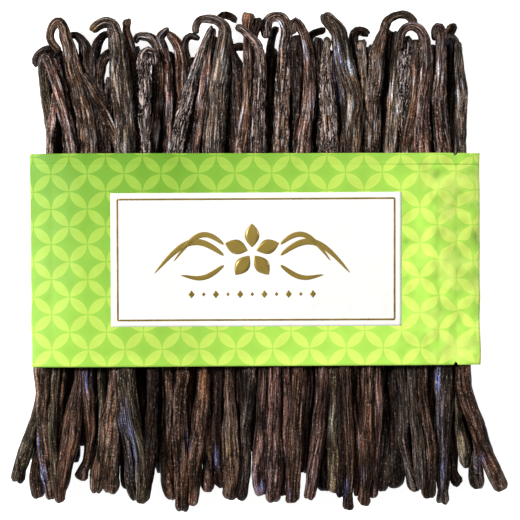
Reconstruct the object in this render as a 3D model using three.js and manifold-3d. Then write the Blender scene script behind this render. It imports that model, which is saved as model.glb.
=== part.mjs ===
// A flat bundle of cured vanilla pods, lying side by side in three layers, with a slim
// printed sachet laid across the middle and a thin label on top of the sachet.
// Millimetres, +Z up. X runs across the bundle, Y along the pods with the crooked stem
// ends towards +Y, and the bundle rests on z = 0.
import * as THREE from 'three';
import { mergeVertices } from 'three/addons/utils/BufferGeometryUtils.js';
import Module from 'manifold-3d';

const pod = {
  width: 4.9,
  height: 3.6,
  sizeSpread: 0.05,
  // [distance from the blossom end as a share of the length, width as a share of pod.width]
  profile: [
    [0, 0.44], [0.02, 0.54], [0.06, 0.4], [0.2, 0.8], [0.45, 1], [0.75, 0.92],
    [0.91, 0.6], [0.94, 0.5], [0.97, 0.46], [1, 0.58],
  ],
};

// lowest first; the axes lie one pod height and a small gap apart
const layers = [
  { count: 17, axisHeight: 2.2, sides: 5 },
  { count: 18, axisHeight: 6.1, sides: 5 },
  { count: 28, axisHeight: 10, sides: 6 },
];

const fan = {
  stemWidth: 144, // between the outermost axes at the stem ends
  middleWidth: 146,
  tipWidth: 170, // the blossom ends splay outwards
  stemReach: 82.5, // how far the longest shoulders reach from the middle
  tipReach: 87,
  unevenness: 9, // how much shorter the shortest pod is, at each end
  sway: 0.1, // sideways wander of one pod
};

const crook = {
  radius: 3.4, // of the bend at the stem end
  leastTurn: 0.5, // radians
  mostTurn: 2.7,
  steps: 4,
};

const core = {
  width: 141, // what the pods have in common below the top layer's axes
  stemEnd: 56,
  tipEnd: -56,
};

const sachet = {
  // corners as seen from above, stem side first
  corners: { left: [-80.3, 37.1], right: [76, 37.1], tipRight: [76.5, -36.1], tipLeft: [-79.1, -37.5] },
  edgeThickness: 0.8,
  pillow: 1.4, // how much thicker the middle is than the sealed edges
  columns: 14,
  rows: 8,
  notchX: 67.6, // the two tear notches, one in each long edge
  notchWidth: 1.9,
  notchDepth: 1.8,
};

const label = {
  centre: [-1.4, 0],
  width: 100.6,
  height: 46.5,
  thickness: 0.5,
  columns: 8,
  rows: 4,
};

const gap = 0.3; // between two solids that rest on each other

const colours = {
  pods: new THREE.Color(0.2, 0.145, 0.12),
  sachet: new THREE.Color(0.72, 0.89, 0.38),
  label: new THREE.Color(0.97, 0.97, 0.96),
};

// a repeatable number from 0 to 1 for item i and quantity k
function chance(i, k) {
  const wave = Math.sin(i * 12.9898 + k * 78.233) * 43758.5453;
  return wave - Math.floor(wave);
}

// leaves only the positions, shares the vertices and drops triangles that have no area
function weld(geometry) {
  geometry.deleteAttribute('normal');
  geometry.deleteAttribute('uv');
  const welded = mergeVertices(geometry, 1e-4);
  const index = Array.from(welded.index.array);
  const kept = [];
  for (let i = 0; i < index.length; i += 3) {
    const [a, b, c] = index.slice(i, i + 3);
    if (a !== b && b !== c && c !== a) {
      kept.push(a, b, c);
    }
  }
  welded.setIndex(kept);
  return welded;
}

function toSolid(wasm, geometry) {
  const welded = weld(geometry);
  return new wasm.Manifold(new wasm.Mesh({
    numProp: 3,
    vertProperties: new Float32Array(welded.attributes.position.array),
    triVerts: new Uint32Array(welded.index.array),
  }));
}

function toGeometry(solid) {
  const mesh = solid.getMesh();
  const geometry = new THREE.BufferGeometry();
  geometry.setAttribute('position', new THREE.BufferAttribute(mesh.vertProperties, 3));
  geometry.setIndex(new THREE.BufferAttribute(mesh.triVerts, 1));
  geometry.computeVertexNormals();
  return geometry;
}

// the line of one pod from its blossom end to the cut of its crooked stem; place runs
// from -0.5 at the left side of the bundle to 0.5 at the right
function podPath(place, number, height) {
  const tip = -fan.tipReach + fan.unevenness * chance(number, 1);
  const shoulder = fan.stemReach - fan.unevenness * chance(number, 2);
  const sway = fan.sway * (2 * chance(number, 3) - 1);
  const side = chance(number, 4) < 0.5 ? -1 : 1;
  const turn = THREE.MathUtils.lerp(crook.leastTurn, crook.mostTurn, chance(number, 5));
  const stemX = place * fan.stemWidth + sway;
  const points = [
    new THREE.Vector3(place * fan.tipWidth, tip, height),
    new THREE.Vector3(place * (fan.middleWidth + fan.tipWidth) / 2, tip * 0.66, height),
    new THREE.Vector3(place * fan.middleWidth + sway, 0, height),
    new THREE.Vector3(stemX, shoulder * 0.6, height),
    new THREE.Vector3(stemX, shoulder, height),
  ];
  for (let step = 1; step <= crook.steps; step += 1) {
    const angle = turn * step / crook.steps;
    const across = side * crook.radius * (1 - Math.cos(angle));
    points.push(new THREE.Vector3(stemX + across, shoulder + crook.radius * Math.sin(angle), height));
  }
  return new THREE.CatmullRomCurve3(points, false, 'centripetal');
}

// turns the width profile into a closed spindle and lays it along the path; the path
// stays level, so the section's flat way stays upright
function podGeometry(path, scale, sides) {
  const outline = pod.profile.map(([along, share]) => new THREE.Vector2(share * pod.width / 2, along));
  const profile = [new THREE.Vector2(0, 0), ...outline, new THREE.Vector2(0, 1)];
  const geometry = new THREE.LatheGeometry(profile, sides, Math.PI / sides);
  const position = geometry.attributes.position;
  const up = new THREE.Vector3(0, 0, 1);
  const vertex = new THREE.Vector3();
  for (let i = 0; i < position.count; i += 1) {
    vertex.fromBufferAttribute(position, i);
    const along = THREE.MathUtils.clamp(vertex.y, 0, 1);
    const point = path.getPointAt(along);
    const across = new THREE.Vector3().crossVectors(path.getTangentAt(along), up);
    point.addScaledVector(across, vertex.x * scale);
    point.addScaledVector(up, vertex.z * scale * pod.height / pod.width);
    position.setXYZ(i, point.x, point.y, point.z);
  }
  return geometry;
}

// every pod of every layer, grown together over the core below the top layer's axes
function makePods(wasm) {
  const coreTop = layers.at(-1).axisHeight;
  const slab = new THREE.BoxGeometry(core.width, core.stemEnd - core.tipEnd, coreTop);
  slab.translate(0, (core.stemEnd + core.tipEnd) / 2, coreTop / 2);
  let solid = toSolid(wasm, slab);
  let number = 0;
  for (const { count, axisHeight, sides } of layers) {
    for (let i = 0; i < count; i += 1) {
      number += 1;
      const path = podPath(i / (count - 1) - 0.5, number, axisHeight);
      const scale = 1 + pod.sizeSpread * (2 * chance(number, 6) - 1);
      solid = solid.add(toSolid(wasm, podGeometry(path, scale, sides)));
    }
  }
  return toGeometry(solid);
}

// how far the sachet's top stands above its sealed edge at a place on the bundle
function pillowRise(x, y) {
  const { left, tipRight } = sachet.corners;
  const u = (2 * x - left[0] - tipRight[0]) / (tipRight[0] - left[0]);
  const v = (2 * y - left[1] - tipRight[1]) / (left[1] - tipRight[1]);
  return sachet.pillow * Math.max(0, 1 - u ** 4) * Math.max(0, 1 - v ** 4);
}

// a flat block drawn out to the four corners, its upper face raised into a low pillow
function makeSachet(wasm, underside) {
  const { left, right, tipRight, tipLeft } = sachet.corners;
  const geometry = new THREE.BoxGeometry(1, 1, 1, sachet.columns, sachet.rows, 1);
  const position = geometry.attributes.position;
  for (let i = 0; i < position.count; i += 1) {
    const u = position.getX(i) + 0.5;
    const v = position.getY(i) + 0.5;
    const lerp = THREE.MathUtils.lerp;
    const x = lerp(lerp(tipLeft[0], tipRight[0], u), lerp(left[0], right[0], u), v);
    const y = lerp(lerp(tipLeft[1], tipRight[1], u), lerp(left[1], right[1], u), v);
    const isTop = position.getZ(i) > 0;
    position.setXYZ(i, x, y, underside + (isTop ? sachet.edgeThickness + pillowRise(x, y) : 0));
  }
  let solid = toSolid(wasm, geometry);
  for (const [edgeY, inwards] of [[right[1], -1], [tipRight[1], 1]]) {
    const outwards = edgeY - inwards * sachet.notchDepth;
    const notch = new THREE.Shape([
      new THREE.Vector2(sachet.notchX, edgeY + inwards * sachet.notchDepth),
      new THREE.Vector2(sachet.notchX - sachet.notchWidth, outwards),
      new THREE.Vector2(sachet.notchX + sachet.notchWidth, outwards),
    ]);
    const cutter = new THREE.ExtrudeGeometry(notch, { depth: 10, bevelEnabled: false });
    cutter.translate(0, 0, underside - 5);
    solid = solid.subtract(toSolid(wasm, cutter));
  }
  return toGeometry(solid);
}

// a thin panel that follows the sachet's top
function makeLabel(sachetEdgeTop) {
  const geometry = new THREE.BoxGeometry(
    label.width, label.height, label.thickness, label.columns, label.rows, 1,
  );
  geometry.translate(label.centre[0], label.centre[1], label.thickness / 2);
  const position = geometry.attributes.position;
  for (let i = 0; i < position.count; i += 1) {
    const rise = pillowRise(position.getX(i), position.getY(i));
    position.setZ(i, sachetEdgeTop + gap + rise + position.getZ(i));
  }
  const welded = weld(geometry);
  welded.computeVertexNormals();
  return welded;
}

const wasm = await Module();
wasm.setup();

const podTop = layers.at(-1).axisHeight + pod.height / 2 * (1 + pod.sizeSpread);
const sachetUnderside = podTop + gap;

const podsMesh = new THREE.Mesh(
  makePods(wasm),
  new THREE.MeshStandardMaterial({ color: colours.pods, roughness: 0.5, metalness: 0 }),
);
podsMesh.name = 'pods';

const sachetMesh = new THREE.Mesh(
  makeSachet(wasm, sachetUnderside),
  new THREE.MeshStandardMaterial({ color: colours.sachet, roughness: 0.4, metalness: 0 }),
);
sachetMesh.name = 'sachet';

const labelMesh = new THREE.Mesh(
  makeLabel(sachetUnderside + sachet.edgeThickness),
  new THREE.MeshStandardMaterial({ color: colours.label, roughness: 0.5, metalness: 0 }),
);
labelMesh.name = 'label';

const parts = new THREE.Group();
parts.add(podsMesh, sachetMesh, labelMesh);

// the origin is under the middle of the whole bundle's outline
const outline = new THREE.Box3().setFromObject(parts);
const centre = outline.getCenter(new THREE.Vector3());
parts.position.set(-centre.x, -centre.y, 0);

const group = new THREE.Group();
group.add(parts);

export default group;
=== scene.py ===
import math

import bpy
import numpy as np
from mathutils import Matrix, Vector


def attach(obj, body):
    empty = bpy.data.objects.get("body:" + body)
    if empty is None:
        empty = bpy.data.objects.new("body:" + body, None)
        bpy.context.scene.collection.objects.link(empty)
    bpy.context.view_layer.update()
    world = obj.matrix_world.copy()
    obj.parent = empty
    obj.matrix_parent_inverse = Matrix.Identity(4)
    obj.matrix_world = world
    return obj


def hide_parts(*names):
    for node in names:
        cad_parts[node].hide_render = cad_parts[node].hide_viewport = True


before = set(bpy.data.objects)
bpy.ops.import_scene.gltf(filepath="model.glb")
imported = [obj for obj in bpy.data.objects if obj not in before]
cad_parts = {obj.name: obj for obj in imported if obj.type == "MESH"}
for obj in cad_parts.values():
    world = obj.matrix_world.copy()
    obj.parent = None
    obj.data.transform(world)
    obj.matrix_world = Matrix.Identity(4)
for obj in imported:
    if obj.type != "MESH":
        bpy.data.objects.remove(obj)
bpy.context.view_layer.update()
mm = 0.001


# a mesh object at the origin from arrays in millimetres: points (n, 3), four-sided and
# three-sided faces as rows of point numbers; flat marks the faces that aren't shaded smooth
def makePiece(name, points, quads, tris, material, flat=None):
    quads = np.asarray(quads, dtype=np.int32).reshape(-1, 4)
    tris = np.asarray(tris, dtype=np.int32).reshape(-1, 3)
    corners = np.concatenate([quads.ravel(), tris.ravel()])
    counts = np.concatenate([np.full(len(quads), 4), np.full(len(tris), 3)])
    rounded = np.ones(len(counts), dtype=bool) if flat is None else ~flat
    mesh = bpy.data.meshes.new(name)
    mesh.vertices.add(len(points))
    mesh.vertices.foreach_set("co", (np.asarray(points) * mm).astype(np.float32).ravel())
    mesh.loops.add(len(corners))
    mesh.loops.foreach_set("vertex_index", corners)
    mesh.polygons.add(len(counts))
    mesh.polygons.foreach_set("loop_start", np.concatenate([[0], np.cumsum(counts)[:-1]]))
    mesh.polygons.foreach_set("use_smooth", rounded)
    mesh.update(calc_edges=True)
    mesh.validate()
    mesh.materials.append(material)
    piece = bpy.data.objects.new(name, mesh)
    bpy.context.scene.collection.objects.link(piece)
    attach(piece, "root")
    return piece


# one UV pair for each face corner, in the order of the faces
def addUv(piece, name, pairs):
    layer = piece.data.uv_layers.new(name=name)
    layer.data.foreach_set("uv", np.asarray(pairs, dtype=np.float32).ravel())


# four values for each point
def addColours(piece, name, values):
    layer = piece.data.color_attributes.new(name, "FLOAT_COLOR", "POINT")
    layer.data.foreach_set("color", np.asarray(values, dtype=np.float32).ravel())


# the four point numbers of every face of a grid of rows x columns points, starting at
# number first; wrap closes the columns into a ring; flip turns the faces over
def gridFaces(rows, columns, first=0, wrap=False, flip=False):
    last = columns if wrap else columns - 1
    i, j = np.meshgrid(np.arange(rows - 1) * columns, np.arange(last), indexing="ij")
    nextI, nextJ = i + columns, (j + 1) % columns
    faces = np.stack([i + j, nextI + j, nextI + nextJ, i + nextJ], -1).reshape(-1, 4) + first
    return faces[:, ::-1] if flip else faces


# a small helper for shader trees: makes nodes, sets their sockets and joins them. What
# flows between nodes is a pair of a node and its output; three numbers are a colour
class Tree:
    def __init__(self, name):
        self.material = bpy.data.materials.new(name)
        self.material.use_nodes = True
        self.tree = self.material.node_tree
        self.tree.nodes.clear()
        self.skin = self.node("ShaderNodeBsdfPrincipled")
        self.node("ShaderNodeOutputMaterial", {"Surface": (self.skin, "BSDF")})

    def node(self, kind, values=None, **settings):
        made = self.tree.nodes.new(kind)
        for key, value in settings.items():
            setattr(made, key, value)
        for socket, value in (values or {}).items():
            self.join(value, made, socket)
        return made

    def join(self, value, target, socket):
        if isinstance(value, tuple) and hasattr(value[0], "outputs"):
            self.tree.links.new(value[0].outputs[value[1]], target.inputs[socket])
        else:
            target.inputs[socket].default_value = value

    def finish(self, values):
        for socket, value in values.items():
            self.join(value, self.skin, socket)
        return self.material

    def math(self, operation, first, second=0.5, third=0.0):
        values = {0: first, 1: second, 2: third}
        return self.node("ShaderNodeMath", values, operation=operation), 0

    def vector(self, operation, first, second=(0, 0, 0)):
        values = {0: first, "Scale" if operation == "SCALE" else 1: second}
        made = self.node("ShaderNodeVectorMath", values, operation=operation)
        return made, 1 if operation == "LENGTH" else 0

    def mix(self, share, first, second, blend="MIX"):
        first, second = (c + (1,) if len(c) == 3 else c for c in (first, second))
        values = {0: share, 6: first, 7: second}
        return self.node("ShaderNodeMix", values, data_type="RGBA", blend_type=blend), 2

    def times(self, first, second):
        return self.mix(1.0, first, second, "MULTIPLY")

    def ramp(self, value, low, high, toLow=0.0, toHigh=1.0):
        values = {0: value, 1: low, 2: high, 3: toLow, 4: toHigh}
        return self.node("ShaderNodeMapRange", values), 0

    def noise(self, place, scale, detail, roughness=0.5):
        values = {"Vector": place, "Scale": scale, "Detail": detail, "Roughness": roughness}
        return self.node("ShaderNodeTexNoise", values), 0

    def place(self):
        place = self.node("ShaderNodeTexCoord"), "Object"
        split = self.node("ShaderNodeSeparateXYZ", {0: place})
        return place, (split, 0), (split, 1)


# how far values have come on their way from start to start + span, from 0 to 1
def part(values, start, span):
    return np.clip((values - start) / span, 0, 1)


# smooth noise from -1 to 1 on a lattice that closes on itself around the pod: the four
# lattice values round a point, mixed by the fade 6t^5 - 15t^4 + 10t^3 of each share
def ringNoise(around, along, cells, rng):
    rows = int(np.floor(along.max())) + 3
    lattice = rng.uniform(-1, 1, (rows, cells))
    across = (around % 1.0) * cells
    i, j = np.floor(along).astype(int), np.floor(across).astype(int) % cells
    u, v = along - np.floor(along), across - np.floor(across)
    u, v = (t * t * t * (t * (t * 6 - 15) + 10) for t in (u, v))
    nextJ = (j + 1) % cells
    low = lattice[i, j] * (1 - v) + lattice[i, nextJ] * v
    high = lattice[i + 1, j] * (1 - v) + lattice[i + 1, nextJ] * v
    return low * (1 - u) + high * u


# slow noise along a line: lattice values a cell apart, mixed by the same fade
def lineNoise(along, rng):
    return ringNoise(np.zeros_like(along), along - along.min(), 1, rng)


# values smoothed along the first axis by a bell curve of the given spread in samples
def smooth(values, spread):
    reach = int(math.ceil(3 * spread))
    bell = np.exp(-0.5 * (np.arange(-reach, reach + 1) / spread) ** 2)
    padded = np.pad(values, (reach, reach), mode="edge")
    return np.convolve(padded, bell / bell.sum(), mode="valid")


podKinds = {
    # skin colours, linear
    "skins": {
        "umber": (0.086, 0.044, 0.027),
        "brown": (0.108, 0.062, 0.041),
        "rust": (0.114, 0.056, 0.034),
        "mauve": (0.118, 0.062, 0.050),
        "slate": (0.091, 0.065, 0.049),
        "olive": (0.076, 0.057, 0.034),
        "soot": (0.066, 0.047, 0.037),
        "ink": (0.018, 0.0075, 0.004),
    },
    "lightness": ((1.13, 1.12, 1.1), (1.58, 1.5, 1.33)),  # of the blossom half and the stem half
    # of the stem: colour and how far along the pod
    "cutEnds": {"dark": ((0.045, 0.032, 0.024), 0.3), "ochre": ((0.260, 0.160, 0.055), 3.0)},
    # the painted highlight along the ridge crests: its tint and how much lighter it is
    "crestHighlightTint": (1.07, 1.03, 1.02),
    "crestHighlightLightness": 2.1,
    # how dark the painted shade is: a value, and more of it on the stem half; folds also by how
    # shrivelled
    "foldShade": (0.25, 0.15, 0.45),
    "flankShade": (0.5, 0.2),
    "grooveShade": 0.8,
    "unevenTone": (0.1, 0.2),  # along a pod, of both halves
    "podTones": (0.85, 1.15),  # from pod to pod
    "flatness": 0.74,  # thickness of a pod as a share of its width
    "endFlatness": 0.92,
    "looseSkin": (0.3, 4.2),  # added to the width of thin parts, and what is thin
    "sachetEdges": (37.0, -37.5),  # where the pods go under the sachet
    "reach": (1.008, 1.012, 1.014),  # stretches the pods about the middle: across, up, down
    "widthNoise": 0.035,
    "wander": (0.05, 0.02),  # of the ridges round the pod, slow and quick, in turns
    "twist": 0.2,  # most turns from end to end
    "foldSpacing": 1.6,  # from one deep fold to the next round a pod, in millimetres
    "foldDepth": 0.36,
    "ridgeSpacing": 0.66,
    "ridgeDepth": 0.28,
    "grooveDepth": 0.22,
    "lumps": (0.06, 0.05, 0.045, 0.16),  # long, middling, short and at the ends
    "roll": 0.25,
    "cutUnevenness": 0.3,  # of the ends, as a share of the half width
    "closeness": 0.4,  # how much closer points round a pod lie on its upper half
    "capRings": ((0.78, 0.2), (0.45, 0.26)),  # of a closed end: size and how far out
    "hiddenMargin": 4,  # under the sachet, where rings lie wider apart
    "hiddenDensity": 0.3,
    "seed": 11,
    "highlightAndSkinTints": {"coolReflection": (0.13, 0.185, 0.46), "gold": (0.34, 0.21, 0.08),
              "amber": (0.26, 0.105, 0.032), "pale": (0.60, 0.46, 0.43)},
    # painted highlights (pale), painted reflections of a cool light (coolReflection) and warm
    # tints, partly painted highlights (gold, amber), on the skin: tint, x, y, half width, half
    # height, strength
    "highlightAndTintPlaces": (
        ("coolReflection", -60.9, -41, 1.7, 4.5, 1), ("coolReflection", -47.2, -54.8, 1.5, 5, 0.9),
        ("coolReflection", -45.5, -62.5, 1.6, 6, 0.9), ("coolReflection", -44, -70.4, 1.6, 5, 0.7),
        ("coolReflection", 61.8, -42.2, 0.75, 5, 1), ("coolReflection", 63, -56, 1.2, 8, 0.15),
        ("coolReflection", -25, -62.5, 1, 3.2, 0.8), ("coolReflection", 29.8, -80.5, 1.5, 3.5, 0.7),
        ("coolReflection", 37.1, -74.3, 1.8, 3.2, 0.5), ("coolReflection", 78.4, -67.7, 1.3, 2.2, 0.8),
        ("coolReflection", -75.3, -74.6, 1.2, 5.5, 0.7), ("coolReflection", -76.7, -60.7, 0.8, 7, 0.6),
        ("coolReflection", 0.7, -78.8, 1.8, 2.6, 0.5), ("coolReflection", 10, -80.5, 1.3, 2.5, 0.6),
        ("coolReflection", -15.3, -67.7, 0.8, 5, 0.5), ("coolReflection", -74.6, 69.4, 1.8, 1.5, 0.6),
        ("coolReflection", 27.1, 70.1, 1.5, 5, 0.35), ("coolReflection", -33.3, 78.4, 1.8, 1.5, 0.35),
        ("coolReflection", -1, 50.7, 1.4, 2.2, 0.5), ("coolReflection", 63.8, -72.9, 1.6, 8, 0.2),
        ("coolReflection", 75.6, -72.9, 1.2, 3, 0.4), ("pale", -67.5, 54, 1.3, 2.8, 0.8),
        ("pale", -66.8, 49, 0.9, 3, 0.5), ("pale", -72.3, 45, 0.5, 7, 0.8),
        ("amber", -26.7, 70.1, 1.1, 2.6, 0.9), ("pale", -26.9, 64.5, 0.8, 2.4, 0.7),
        ("amber", -19.1, -43, 1.7, 6, 0.5), ("gold", -10.2, -66.6, 2.4, 8, 0.35),
        ("pale", -1, 56.2, 0.4, 2.4, 1), ("gold", 23, 72.6, 1.6, 4.2, 0.9),
        ("pale", 39.7, 67.7, 0.8, 2.6, 0.9), ("pale", 38.7, 59, 0.5, 3.5, 0.8),
        ("pale", 39.4, 48.2, 0.8, 3.4, 0.7), ("pale", 61.8, 66.6, 0.35, 8, 0.8),
        ("pale", 62.9, 66.6, 0.35, 8, 0.7), ("pale", 54.8, 56.4, 0.45, 4.5, 0.9),
        ("pale", 23.2, 64.2, 0.45, 2.6, 1), ("pale", 61.4, -42.7, 0.4, 0.4, 1),
        ("pale", 61.4, -46.2, 0.4, 0.4, 1), ("pale", -61.1, -45.5, 1.4, 0.35, 1),
        ("pale", -39.4, 51, 1.1, 12, 0.45), ("pale", -27, 51, 0.8, 14, 0.45),
        ("amber", 67.2, 81.2, 1.4, 1.2, 0.6), ("gold", -41.2, -54, 0.7, 6, 0.35),
        ("pale", -7.5, 66, 0.5, 2.5, 0.5), ("pale", -7.3, 42, 1.1, 5, 0.35),
        ("coolReflection", 66.6, 75.6, 2.2, 1.6, 0.4), ("coolReflection", 27.6, 62, 1.6, 7, 0.3),
    ),
}

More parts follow.
